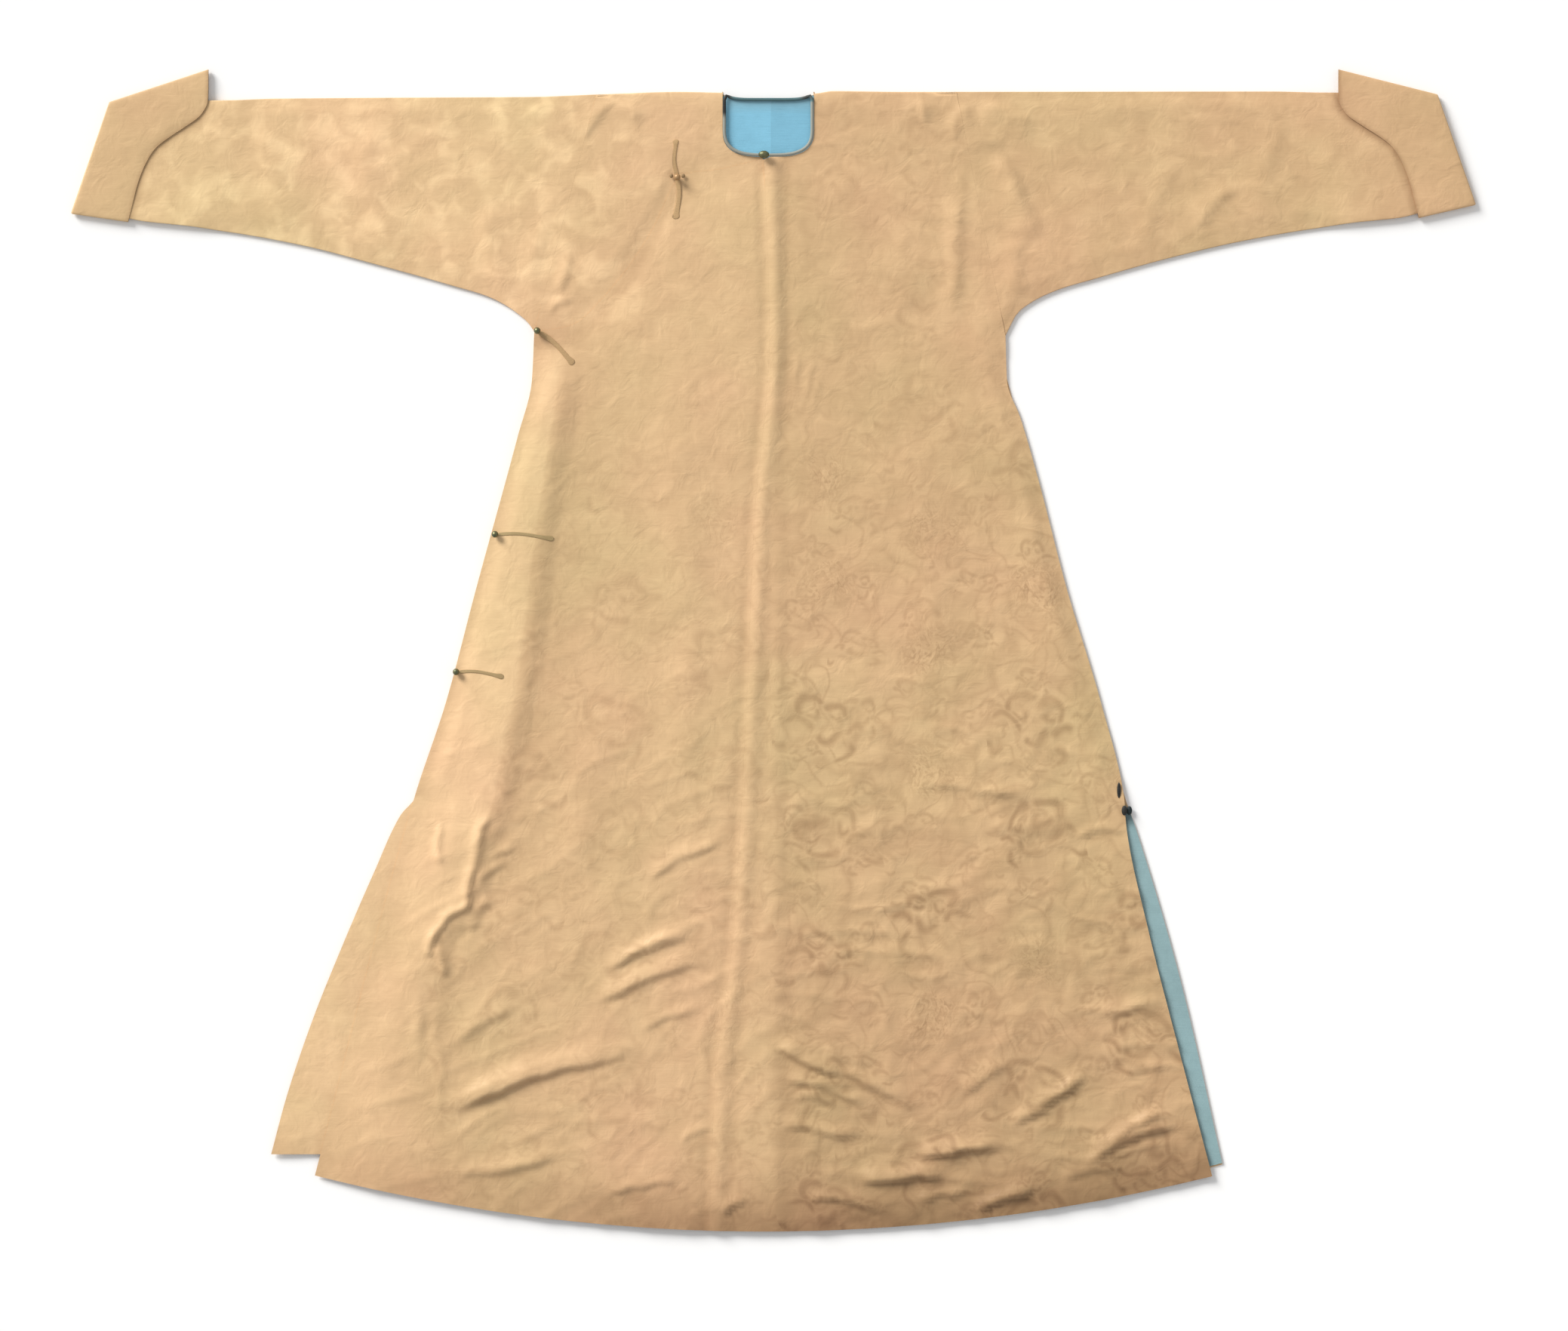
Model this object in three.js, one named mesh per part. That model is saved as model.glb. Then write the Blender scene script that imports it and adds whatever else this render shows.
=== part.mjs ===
// A long silk damask robe laid flat on its back, in millimetres.
// The wearer's left is +X, the collar is towards +Y, and the robe lies on the plane z = 0.
import * as THREE from 'three';

// ---------- driving dimensions ----------
const shell = 1.2;              // wall of the silk damask
const liningCloth = 1.0;        // wall of the blue silk lining
const gap = 0.3;                // between pieces that touch
const layer = shell + gap;      // rise of one more layer of damask
const liningZ = shell + gap;    // underside of the back lining
const frontZ = liningZ + liningCloth + gap;      // underside of the first front layer
const foldRadius = (frontZ + shell) / 2;         // outside radius of the fold over the shoulder
const armpit = { left: 396, right: 401 };        // height of each armpit
const ventTop = -184;                            // height at which the side seams end
const centreBack = -3;                           // centre-back seam
const seamRoll = 14;            // width over which front and back close together at a side seam
const seamEase = 30;            // length over which that closing begins and ends
const liningInset = { seam: 19, vent: 2, ease: 40 };     // lining edge, inside the side seam and the vent
const underlapEdge = 0;         // inner edge of the underlap
const underlapNeck = { y: 575, ease: 30 };       // where that edge turns in to the neck
const step = { start: 1, width: 20 };            // where the front comes down off the underlap's inner edge
const shoulderSeam = 226;       // how far out the sleeve seams meet the shoulder line

const neck = { x: -6.5, y: 658, halfWidth: 57.5, above: 37, below: 37, squareness: 3, straight: 0.3 };
const neckSteps = [0.1, 0.36, 0.5, 0.64, 0.81, 1];       // from the shoulder to the centre-front seam
const backNeck = 691;                            // height of the back neck edge
const binding = { width: 4, height: 3, backZ: 0.3, frontZ: 2.9 };
const button = { radius: 4.3, shank: 1.3, shankHeight: 2 };
const strap = { width: 6, thickness: 1.3 };
const cuff = { returnDepth: 22, foldRadius: 2.1, halfHeight: 4.35, clearance: 1.6 };
const tubePoints = 22;          // points round a sleeve or cuff
const tubeFlatness = 0.2;       // the lower this is, the flatter the tube lies
const sleeveEase = 0.1;         // between a sleeve's end and the inside of its cuff
const sleeveSwell = { from: 0.66, to: 0.76 };    // share of the sleeve over which it rises to the cuff

// Height of the outline's shoulder line, from the wearer's right cuff to the left one.
const shoulderLine = [
  { x: -836, y: 690.5 }, { x: -703, y: 693.5 }, { x: -500, y: 695.5 }, { x: -309, y: 696.5 },
  { x: -214, y: 700 }, { x: -119, y: 703 }, { x: -64, y: 702 }, { x: 51, y: 701 },
  { x: 75, y: 704 }, { x: 166, y: 703 }, { x: 690, y: 703.5 }, { x: 836, y: 700 },
];
// Height of the underarm line of each sleeve, by distance out from the middle.
const underarm = {
  right: [
    { x: 301, y: 401 }, { x: 311, y: 415 }, { x: 356, y: 444 }, { x: 404, y: 459 },
    { x: 499, y: 485.5 }, { x: 594, y: 510 }, { x: 689, y: 527 }, { x: 809, y: 540 }, { x: 881, y: 549 },
  ],
  left: [
    { x: 292, y: 396 }, { x: 309, y: 426.5 }, { x: 356, y: 453 }, { x: 404, y: 467.5 },
    { x: 499, y: 494 }, { x: 594, y: 516 }, { x: 689, y: 532 }, { x: 815, y: 546 }, { x: 886, y: 560 },
  ],
};
// Seam that joins each sleeve to the body, out from the middle.
const sleeveSeam = {
  right: [{ y: 401, x: 301 }, { y: 702, x: 222 }],
  left: [{ y: 396, x: 292 }, { y: 704, x: 230 }],
};
// Side edges below the armpits, out from the middle.
const sideEdge = {
  overlap: [
    { y: 401, x: 301 }, { y: 339, x: 304 }, { y: 268, x: 322 }, { y: 78, x: 374 },
    { y: -65, x: 412 }, { y: -186, x: 452 }, { y: -661, x: 577 },
  ],
  underlap: [
    { y: 401, x: 301 }, { y: 339, x: 303 }, { y: 268, x: 320.5 }, { y: 78, x: 372.5 }, { y: -65, x: 410.5 },
    { y: -186, x: 451 }, { y: -207, x: 469 }, { y: -278, x: 502 }, { y: -373, x: 543 },
    { y: -468, x: 581 }, { y: -563, x: 613 }, { y: -634, x: 632 },
  ],
  backRight: [
    { y: 401, x: 301 }, { y: 339, x: 303 }, { y: 268, x: 320.5 }, { y: 78, x: 372.5 }, { y: -65, x: 410.5 },
    { y: -186, x: 450 }, { y: -648, x: 568 },
  ],
  frontLeft: [
    { y: 396, x: 292 }, { y: 339, x: 294 }, { y: 292, x: 311 }, { y: 220, x: 332 }, { y: 78, x: 369 },
    { y: -65, x: 412 }, { y: -184, x: 441 }, { y: -221, x: 444 }, { y: -357, x: 473 },
    { y: -501, x: 510 }, { y: -660, x: 552 },
  ],
  backLeft: [
    { y: 396, x: 292 }, { y: 339, x: 294 }, { y: 292, x: 311 }, { y: 220, x: 332 }, { y: 78, x: 369 },
    { y: -65, x: 412 }, { y: -184, x: 442 }, { y: -221, x: 461 }, { y: -415, x: 512 }, { y: -647, x: 565 },
  ],
};
// Seam between the overlap and the wearer's left front.
const centreFront = [
  { y: 621, x: -12 }, { y: 394, x: -5 }, { y: 162, x: -24 }, { y: -71, x: -34 },
  { y: -362, x: -51 }, { y: -537, x: -73 }, { y: -731, x: -81 },
];
// Upper edge of the overlap, from the armpit to the neck, and the seam height that each point faces.
const overlapTop = [
  { x: -301, y: 401, faces: 418 }, { x: -276, y: 404, faces: 430 }, { x: -252, y: 410, faces: 444 },
  { x: -214, y: 444, faces: 476 }, { x: -176, y: 491, faces: 514 }, { x: -147, y: 539, faces: 550 },
  { x: -124, y: 588, faces: 580 }, { x: -108, y: 600, faces: 594 }, { x: -71, y: 605, faces: 606 },
  { x: -34, y: 613, faces: 613 }, { x: -17, y: 617.5, faces: 618 },
];
// Soft roll down the wearer's right front, where the layers beneath it end.
const ridge = {
  height: 5, outerWidth: 95, innerWidth: 42, top: 400, bottom: -700, fade: 120,
  line: [
    { y: 400, x: -262 }, { y: 353, x: -266 }, { y: 135, x: -297 }, { y: -17, x: -312 },
    { y: -112, x: -347 }, { y: -245, x: -385 }, { y: -378, x: -427 }, { y: -587, x: -432 },
    { y: -700, x: -436 },
  ],
};
// Broadest swells of the lower front: ends, width across and height.
const swells = [
  { x1: -420, y1: -590, x2: -180, y2: -500, width: 100, height: 3 },
  { x1: -5, y1: -500, x2: 190, y2: -590, width: 100, height: 3.4 },
  { x1: 100, y1: -680, x2: 430, y2: -560, width: 100, height: 3.4 },
];
// Free edge of a turned-back horseshoe cuff, out from the middle, from its point to the underarm.
const cuffEdge = [
  { v: 0, x: 711, y: 731 }, { v: 0.1, x: 711, y: 712 }, { v: 0.2, x: 711.5, y: 692 },
  { v: 0.28, x: 720, y: 675 }, { v: 0.38, x: 740, y: 660 }, { v: 0.48, x: 758, y: 648.5 },
  { v: 0.58, x: 777, y: 634 }, { v: 0.67, x: 789, y: 616 }, { v: 0.78, x: 799, y: 592 },
  { v: 0.9, x: 806, y: 566 }, { v: 1, x: 812, y: 543 },
];
const cuffEnd = {
  right: { top: [836, 690.5], bottom: [883.5, 549], drop: 4 },
  left: { top: [836, 700], bottom: [883.5, 560], drop: -1 },
};
// Ball buttons, the straps that hold them and the loops that take them, by the strap's ends.
const fastenings = [
  {
    name: 'chest', x: -121, y: 595, straps: [
      { name: 'loop_chest', x: -121, y: 543, carrier: 'overlap' },
      { name: 'strap_chest', x: -125, y: 643, carrier: 'right_length' },
    ],
  },
  { name: 'side', x: -297, y: 402, straps: [{ name: 'loop_side', x: -250, y: 362, carrier: 'overlap' }] },
  { name: 'waist', x: -350, y: 146, straps: [{ name: 'loop_waist', x: -276, y: 142.5, carrier: 'overlap' }] },
  { name: 'hip', x: -399, y: -27, straps: [{ name: 'loop_hip', x: -339, y: -31, carrier: 'overlap' }] },
];
const hems = {
  front: { x: -11, y: -731, reach: 565, rise: 70 },
  back: { x: -3, y: -726, reach: 568, rise: 79 },
};
const underlapHemLine = { y: -634, drop: 66, reach: 574 };
const ventTack = { x: 446.5, y: -203, width: 5, length: 14, height: 2.4 };

// ---------- colours ----------
const damask = new THREE.MeshStandardMaterial({ color: 0xd6b589, roughness: 0.62, metalness: 0 });
const blueSilk = new THREE.MeshStandardMaterial({ color: 0x84c2d8, roughness: 0.6, metalness: 0 });
const darkSilk = new THREE.MeshStandardMaterial({ color: 0x2f4a4c, roughness: 0.7, metalness: 0 });
const brass = new THREE.MeshStandardMaterial({ color: 0x6d6238, roughness: 0.4, metalness: 0.9 });

// ---------- helpers ----------
const clamp01 = (value) => Math.min(1, Math.max(0, value));
const smooth = (value) => clamp01(value) ** 2 * (3 - 2 * clamp01(value));
const mix = (a, b, share) => a + (b - a) * share;
const sign = (side) => (side === 'left' ? 1 : -1);

// A smooth function through a table's rows that never overshoots them.
function through(table, from, to) {
  const rows = [...table].sort((a, b) => a[from] - b[from]);
  const steps = rows.slice(1).map((row, i) => (row[to] - rows[i][to]) / (row[from] - rows[i][from]));
  const slopes = rows.map((row, i) => {
    const before = steps[Math.max(i - 1, 0)];
    const after = steps[Math.min(i, steps.length - 1)];
    return before * after <= 0 ? 0 : (2 * before * after) / (before + after);
  });
  return (value) => {
    if (value <= rows[0][from]) return rows[0][to];
    if (value >= rows.at(-1)[from]) return rows.at(-1)[to];
    const i = rows.findIndex((row) => row[from] > value) - 1;
    const width = rows[i + 1][from] - rows[i][from];
    const t = (value - rows[i][from]) / width;
    return rows[i][to] * (1 + 2 * t) * (1 - t) ** 2 + rows[i + 1][to] * t * t * (3 - 2 * t)
      + width * t * (1 - t) * (slopes[i] * (1 - t) - slopes[i + 1] * t);
  };
}

const foldY = through(shoulderLine, 'x', 'y');
const seamX = { right: through(sleeveSeam.right, 'y', 'x'), left: through(sleeveSeam.left, 'y', 'x') };
const underY = { right: through(underarm.right, 'x', 'y'), left: through(underarm.left, 'x', 'y') };
const edgeX = Object.fromEntries(
  Object.entries(sideEdge).map(([name, rows]) => [name, through(rows, 'y', 'x')]));
const centreX = through(centreFront, 'y', 'x');
const ridgeX = through(ridge.line, 'y', 'x');

const bowedHem = ({ x: middle, y, reach, rise }) => (x) => y + rise * ((x - middle) / reach) ** 2;
const frontHem = bowedHem(hems.front);
const backHem = bowedHem(hems.back);
const underlapHem = (x) => underlapHemLine.y - underlapHemLine.drop * smooth(x / underlapHemLine.reach + 1);

// ---------- heights of the layers ----------
// How far the front has come down onto the back at a closed side seam, from 0 to 1.
function seamClosing(x, y) {
  const side = x > 0 ? 'left' : 'right';
  const edge = edgeX[side === 'left' ? 'frontLeft' : 'underlap'](y);
  const along = clamp01((armpit[side] - y) / seamEase) * clamp01((y - ventTop) / seamEase);
  return along * clamp01((Math.abs(x) - edge + seamRoll) / seamRoll);
}

// Underside of a front layer that lies straight on the back lining.
const firstLayerZ = (x, y) => frontZ - (frontZ - shell - gap) * seamClosing(x, y);

function swellHeight(x, y) {
  return swells.reduce((sum, c) => {
    const length = Math.hypot(c.x2 - c.x1, c.y2 - c.y1);
    const along = ((x - c.x1) * (c.x2 - c.x1) + (y - c.y1) * (c.y2 - c.y1)) / length ** 2;
    const across = ((x - c.x1) * (c.y2 - c.y1) - (y - c.y1) * (c.x2 - c.x1)) / length;
    const taper = smooth(4 * along) * smooth(4 * (1 - along));
    return sum + c.height * taper * smooth(1 - Math.abs(across) / (c.width / 2));
  }, 0);
}

function ridgeHeight(x, y) {
  const out = ridgeX(y) - x;
  const share = out > 0 ? 1 - out / ridge.outerWidth : 1 + out / ridge.innerWidth;
  const ends = smooth((ridge.top - y) / ridge.fade) * smooth((y - ridge.bottom) / ridge.fade);
  return ridge.height * clamp01(share) * ends;
}

// Underside of the outermost front layer.
function outerLayerZ(x, y) {
  const stacked = layer * clamp01(1 - (x - step.start) / step.width);
  return firstLayerZ(x, y) + stacked + ridgeHeight(x, y) + swellHeight(x, y);
}

// ---------- solids from grids ----------
function closedSolid(points, faces) {
  let volume = 0;
  for (let i = 0; i < faces.length; i += 3) {
    const [a, b, c] = [0, 1, 2].map((k) => new THREE.Vector3(...points[faces[i + k]]));
    volume += a.dot(b.cross(c));
  }
  if (volume < 0) faces.reverse();
  const geometry = new THREE.BufferGeometry();
  geometry.setAttribute('position', new THREE.Float32BufferAttribute(points.flat(), 3));
  geometry.setIndex(faces);
  geometry.computeVertexNormals();
  return geometry;
}

// A sheet of cloth: place(row, column, side) gives a point of its lower (0) or upper (1) face.
function clothWall(rows, columns, place) {
  const points = [];
  const faces = [];
  const at = (side, j, i) => (side * rows + j) * columns + i;
  const quad = (a, b, c, d) => faces.push(a, b, c, a, c, d);
  for (let side = 0; side < 2; side++) {
    for (let j = 0; j < rows; j++) {
      for (let i = 0; i < columns; i++) points.push(place(j, i, side));
    }
  }
  for (let j = 0; j < rows - 1; j++) {
    for (let i = 0; i < columns - 1; i++) {
      quad(at(1, j, i), at(1, j, i + 1), at(1, j + 1, i + 1), at(1, j + 1, i));
      quad(at(0, j, i), at(0, j + 1, i), at(0, j + 1, i + 1), at(0, j, i + 1));
    }
    const last = columns - 1;
    quad(at(0, j, 0), at(1, j, 0), at(1, j + 1, 0), at(0, j + 1, 0));
    quad(at(0, j, last), at(0, j + 1, last), at(1, j + 1, last), at(1, j, last));
  }
  for (let i = 0; i < columns - 1; i++) {
    const last = rows - 1;
    quad(at(0, 0, i), at(0, 0, i + 1), at(1, 0, i + 1), at(1, 0, i));
    quad(at(0, last, i), at(1, last, i), at(1, last, i + 1), at(0, last, i + 1));
  }
  return closedSolid(points, faces);
}

// A closed ring of cloth: place(k, j) gives profile point j of the section at turn k.
function ringWall(turnCount, profileCount, place) {
  const points = [];
  const faces = [];
  for (let k = 0; k < turnCount; k++) {
    for (let j = 0; j < profileCount; j++) points.push(place(k, j));
  }
  for (let k = 0; k < turnCount; k++) {
    for (let j = 0; j < profileCount; j++) {
      const [k2, j2] = [(k + 1) % turnCount, (j + 1) % profileCount];
      const [a, b] = [k * profileCount + j, k * profileCount + j2];
      const [c, d] = [k2 * profileCount + j2, k2 * profileCount + j];
      faces.push(a, b, c, a, c, d);
    }
  }
  return closedSolid(points, faces);
}

const robe = new THREE.Group();
function addPiece(name, geometry, material) {
  const mesh = new THREE.Mesh(geometry, material);
  mesh.name = name;
  robe.add(mesh);
}

// ---------- the neck ----------
// Half of the neck edge: t runs from the shoulder (0) to the centre-front seam (1).
function neckEdge(side, t, inset = 0) {
  const half = neck.halfWidth - inset;
  if (t < neck.straight) return [neck.x + sign(side) * half, neck.y + neck.above * (1 - t / neck.straight)];
  const seamShare = sign(side) * (centreX(neck.y - neck.below) - neck.x) / half;
  const last = Math.acos(Math.sign(seamShare) * Math.abs(seamShare) ** (neck.squareness / 2));
  const angle = last * (t - neck.straight) / (1 - neck.straight);
  const out = Math.sign(Math.cos(angle)) * Math.abs(Math.cos(angle)) ** (2 / neck.squareness);
  const down = Math.sin(angle) ** (2 / neck.squareness);
  return [neck.x + sign(side) * half * out, neck.y - (neck.below - inset) * down];
}

function neckBinding() {
  const acrossBack = [-1, -0.8, 0, 0.8, 1];
  const section = [[0, 0.2], [0, 0.8], [0.2, 1], [0.8, 1], [1, 0.8], [1, 0.2], [0.8, 0], [0.2, 0]];
  const backY = backNeck + 2 * gap + binding.width;
  const loop = (inset) => [
    ...neckSteps.map((t) => neckEdge('left', t, inset)),
    ...neckSteps.slice(0, -1).reverse().map((t) => neckEdge('right', t, inset)),
    ...acrossBack.map((share) => [neck.x + share * (neck.halfWidth - inset), backY - inset]),
  ];
  const outer = loop(gap);
  const inner = loop(gap + binding.width);
  return ringWall(outer.length, section.length, (k, j) => {
    const [share, height] = section[j];
    const z = k >= outer.length - 4 && k < outer.length - 1 ? binding.backZ : binding.frontZ;
    return [...[0, 1].map((n) => mix(outer[k][n], inner[k][n], share)), z + binding.height * height];
  });
}

// ---------- the two body lengths, each from back hem over the shoulder to front hem ----------
// A row runs from a point c on the middle edge to a point s on the side edge. marks are distances
// out from the middle at which a column has to stand, and evenly says how many columns end at each.
const leastColumn = 0.012;      // narrowest column, as a share of the row
const underlapMarks = [60, 120];
function spread(row, marks, evenly) {
  const [from, to] = [row.c[0], row.s[0]];
  const shares = [0];
  [...marks, Math.abs(to)].forEach((mark, n, all) => {
    const least = shares.at(-1) + leastColumn;
    const most = 1 - leastColumn * (all.length - 1 - n);
    const end = Math.min(Math.max((Math.sign(to) * mark - from) / (to - from), least), most);
    const start = shares.at(-1);
    for (let i = 1; i <= evenly[n]; i++) shares.push(mix(start, end, i / evenly[n]));
  });
  return shares;
}

// The point at share u of a row, with the hem's bow eased in by the row's pull.
function panelPoint(row, hemRow, hem, u) {
  const hemX = mix(hemRow.c[0], hemRow.s[0], u);
  const bow = hem(hemX) - mix(hemRow.c[1], hemRow.s[1], u);
  return [mix(row.c[0], row.s[0], u), mix(row.c[1], row.s[1], u) + row.pull * bow];
}

// Heights at the side edge of the rows above the armpit, which meet the points round a sleeve.
const turnAngle = (k) => (2 * Math.PI * (k + 0.5)) / tubePoints;
const turnShare = (k) => (1 - Math.cos(turnAngle(k))) / 2;
const seamTop = (side) => foldY(sign(side) * shoulderSeam);
const sleeveRows = (side) => (
  Array.from({ length: tubePoints / 2 }, (_, k) => mix(seamTop(side), armpit[side], turnShare(k))));

// Rows from the armpit down to the hem corner: share of the drop.
const lowerRows = [0, 0.03, 0.08, 0.15, 0.24, 0.34, 0.44, 0.522, 0.553, 0.59, 0.66, 0.75, 0.84, 0.93, 1];
const middleTop = 425;          // height on the middle edge that faces the armpit
const cornerY = { overlap: -661, frontLeft: -660, underlap: -634, back: -648 };
// Heights on the middle edge, and out along the neck, that face the rows round the sleeve from the top.
const frontFacing = [
  ...neckSteps.map((t) => ({ neck: t })),
  { y: 585 }, { y: 530 }, { y: 484 }, { y: 450 }, { y: 433 },
];
const backFacing = [
  { out: 1, y: 695 }, { out: 1, y: backNeck }, { out: 0.5, y: backNeck }, { out: 0, y: backNeck },
  { out: 0, y: 665 }, { out: 0, y: 630 }, { out: 0, y: 585 }, { out: 0, y: 530 }, { out: 0, y: 484 },
  { out: 0, y: 450 }, { out: 0, y: 433 },
];
const foldAngles = [-90, -54, -18, 18, 54, 90];

function lowerPanelRows(side, edge, innerEdge, hem, corner) {
  const last = hem(innerEdge(hem(underlapEdge)));
  return lowerRows.map((t) => {
    const [cy, sy] = [mix(middleTop, last, t), mix(armpit[side], corner, t)];
    return { c: [innerEdge(cy), cy], s: [sign(side) * edge(sy), sy], pull: t ** 3 };
  });
}

function bodyLength(side, back, front, innerEdge, hem) {
  const s = sign(side);
  const seam = centreBack + s * gap / 2;
  const heights = sleeveRows(side);
  const seamPoint = (y) => [s * seamX[side](y), y];
  const neckSide = neck.x + s * neck.halfWidth;
  const upperBack = backFacing.map(({ out, y }, k) => (
    { c: [mix(seam, neckSide, out), y], s: seamPoint(heights[k]), pull: 0 }));
  const backRows = [
    ...lowerPanelRows(side, edgeX[back], () => seam, backHem, cornerY.back).reverse(),
    ...upperBack.reverse(),
  ];
  const frontRows = [
    ...frontFacing.map((row, k) => ({
      c: row.neck ? neckEdge(side, row.neck) : [innerEdge(row.y), row.y], s: seamPoint(heights[k]), pull: 0,
    })),
    ...lowerPanelRows(side, edgeX[front], innerEdge, hem, cornerY[front]),
  ];
  const foldEnds = { c: [neckSide, 0], s: seamPoint(seamTop(side)) };
  const frontLevel = side === 'left' ? outerLayerZ : firstLayerZ;
  const stepMarks = side === 'left' ? [step.start, step.start + step.width] : underlapMarks;
  const evenly = [1, 1, 4, 1];
  const shares = (row) => spread(row, [...stepMarks, Math.abs(row.s[0]) - seamRoll], evenly);
  const onBack = backRows.map((row) => shares(row).map((u) => {
    const [x, y] = panelPoint(row, backRows[0], backHem, u);
    return [[x, y, shell], [x, y, 0]];
  }));
  const onFold = foldAngles.map((degrees) => shares(foldEnds).map((u) => {
    const x = mix(foldEnds.c[0], foldEnds.s[0], u);
    const angle = THREE.MathUtils.degToRad(degrees);
    return [foldRadius - shell, foldRadius].map((radius) => (
      [x, foldY(x) - foldRadius + radius * Math.cos(angle), foldRadius + radius * Math.sin(angle)]));
  }));
  const onFront = frontRows.map((row) => shares(row).map((u) => {
    const [x, y] = panelPoint(row, frontRows.at(-1), hem, u);
    const z = frontLevel(x, y);
    return [[x, y, z], [x, y, z + shell]];
  }));
  const grid = [...onBack, ...onFold, ...onFront];
  return clothWall(grid.length, grid[0].length, (j, i, upper) => grid[j][i][upper]);
}

// ---------- the overlap that closes the front over the underlap ----------
function overlap() {
  const flatBeforeRoll = 4;
  const seam = (y) => centreX(y) - gap;
  const rows = lowerPanelRows('right', edgeX.overlap, seam, frontHem, cornerY.overlap).reverse();
  rows.push(...overlapTop.slice(1).map(({ x, y, faces }) => (
    { c: [seam(faces), faces], s: [x, y], pull: 0 })));
  const grid = rows.map((row) => {
    const [edge, crest] = [edgeX.underlap(row.s[1]), -ridgeX(row.s[1])];
    const foot = Math.min(crest + ridge.outerWidth, edge - seamRoll - flatBeforeRoll);
    const marks = [crest - ridge.innerWidth, crest, foot, edge - seamRoll, edge];
    return spread(row, marks, [4, 1, 1, 1, 1, 1]).map((u) => {
      const [x, y] = panelPoint(row, rows[0], frontHem, u);
      const z = outerLayerZ(x, y);
      return [[x, y, z], [x, y, z + shell]];
    });
  });
  return clothWall(grid.length, grid[0].length, (j, i, upper) => grid[j][i][upper]);
}

// ---------- the lining where it shows, on the inside of the back ----------
// Rows above the armpit: height on the middle edge and at the side.
const upperLining = [
  { middle: 500, out: 470 }, { middle: 570, out: 540 }, { middle: 640, out: 610 },
  { middle: backNeck, out: 676 },
];
function backLining(side) {
  const s = sign(side);
  const edge = edgeX[side === 'left' ? 'backLeft' : 'backRight'];
  const seam = centreBack + s * gap / 2;
  const inset = (y) => mix(liningInset.vent, liningInset.seam, smooth((y - ventTop) / liningInset.ease + 1));
  const hem = (x) => backHem(x) + liningInset.vent;
  const corner = cornerY.back + liningInset.vent;
  const rows = [
    ...lowerPanelRows(side, (y) => edge(y) - inset(y), () => seam, hem, corner).reverse(),
    ...upperLining.map(({ middle, out }) => (
      { c: [seam, middle], s: [s * (seamX[side](out) - inset(out)), out], pull: 0 })),
  ];
  const steps = 4;
  return clothWall(rows.length, steps + 1, (j, i, upper) => (
    [...panelPoint(rows[j], rows[0], hem, i / steps), liningZ + (upper ? liningCloth : 0)]));
}

// ---------- sleeves and cuffs ----------
// v runs from the top fold (0) to the underarm fold (1) and back again round the tube.
const turnOf = (k) => {
  const angle = turnAngle(k);
  const lift = Math.sign(Math.sin(angle)) * Math.abs(Math.sin(angle)) ** tubeFlatness;
  return { v: turnShare(k), inward: Math.cos(angle), lift };
};

function endLine(side, v, inward) {
  const { top, bottom } = cuffEnd[side];
  return [mix(top[0], bottom[0], v) - inward, mix(top[1], bottom[1], v)];
}

// The sleeve's plan, filled in between its top line, underarm line, seam and end.
function sleevePlan(side, u, v) {
  const seam = (share) => {
    const y = mix(seamTop(side), armpit[side], share);
    return [seamX[side](y) + gap, y];
  };
  const end = (share) => {
    const [x, y] = endLine(side, share, cuff.foldRadius + sleeveEase);
    return [x, y - cuff.clearance * (1 - 2 * share)];
  };
  const [s0, s1, e0, e1] = [seam(0), seam(1), end(0), end(1)];
  const ease = cuff.clearance * smooth((u - sleeveSwell.from) / (sleeveSwell.to - sleeveSwell.from));
  const topX = mix(s0[0], e0[0], u);
  const bottomX = mix(s1[0], e1[0], u);
  const top = [topX, mix(foldY(sign(side) * topX) - ease, e0[1], smooth(6 * u - 5))];
  const bottom = [bottomX, mix(underY[side](bottomX) + ease, e1[1], smooth(6 * u - 5))];
  const [left, right] = [seam(v), end(v)];
  return [0, 1].map((n) => mix(top[n], bottom[n], v) + mix(left[n], right[n], u)
    - mix(mix(s0[n], e0[n], u), mix(s1[n], e1[n], u), v));
}

function sleeve(side) {
  const stations = [0, 0.1, 0.25, 0.4, 0.54, sleeveSwell.from, 0.71, sleeveSwell.to, 1];
  const profile = [...stations.map((u) => [u, 0]), ...[...stations].reverse().map((u) => [u, 1])];
  return ringWall(tubePoints, profile.length, (k, j) => {
    const [u, inside] = profile[j];
    const { v, inward, lift } = turnOf(k);
    const [x, y] = sleevePlan(side, u, v);
    const rise = smooth((u - sleeveSwell.from) / (sleeveSwell.to - sleeveSwell.from));
    const middle = mix(foldRadius, cuff.halfHeight, rise);
    const half = mix(foldRadius, cuff.halfHeight - layer, rise) - inside * shell;
    return [sign(side) * x, y - inside * shell * inward, middle + half * lift];
  });
}

const cuffEdgeX = through(cuffEdge, 'v', 'x');
const cuffEdgeY = through(cuffEdge, 'v', 'y');

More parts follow.
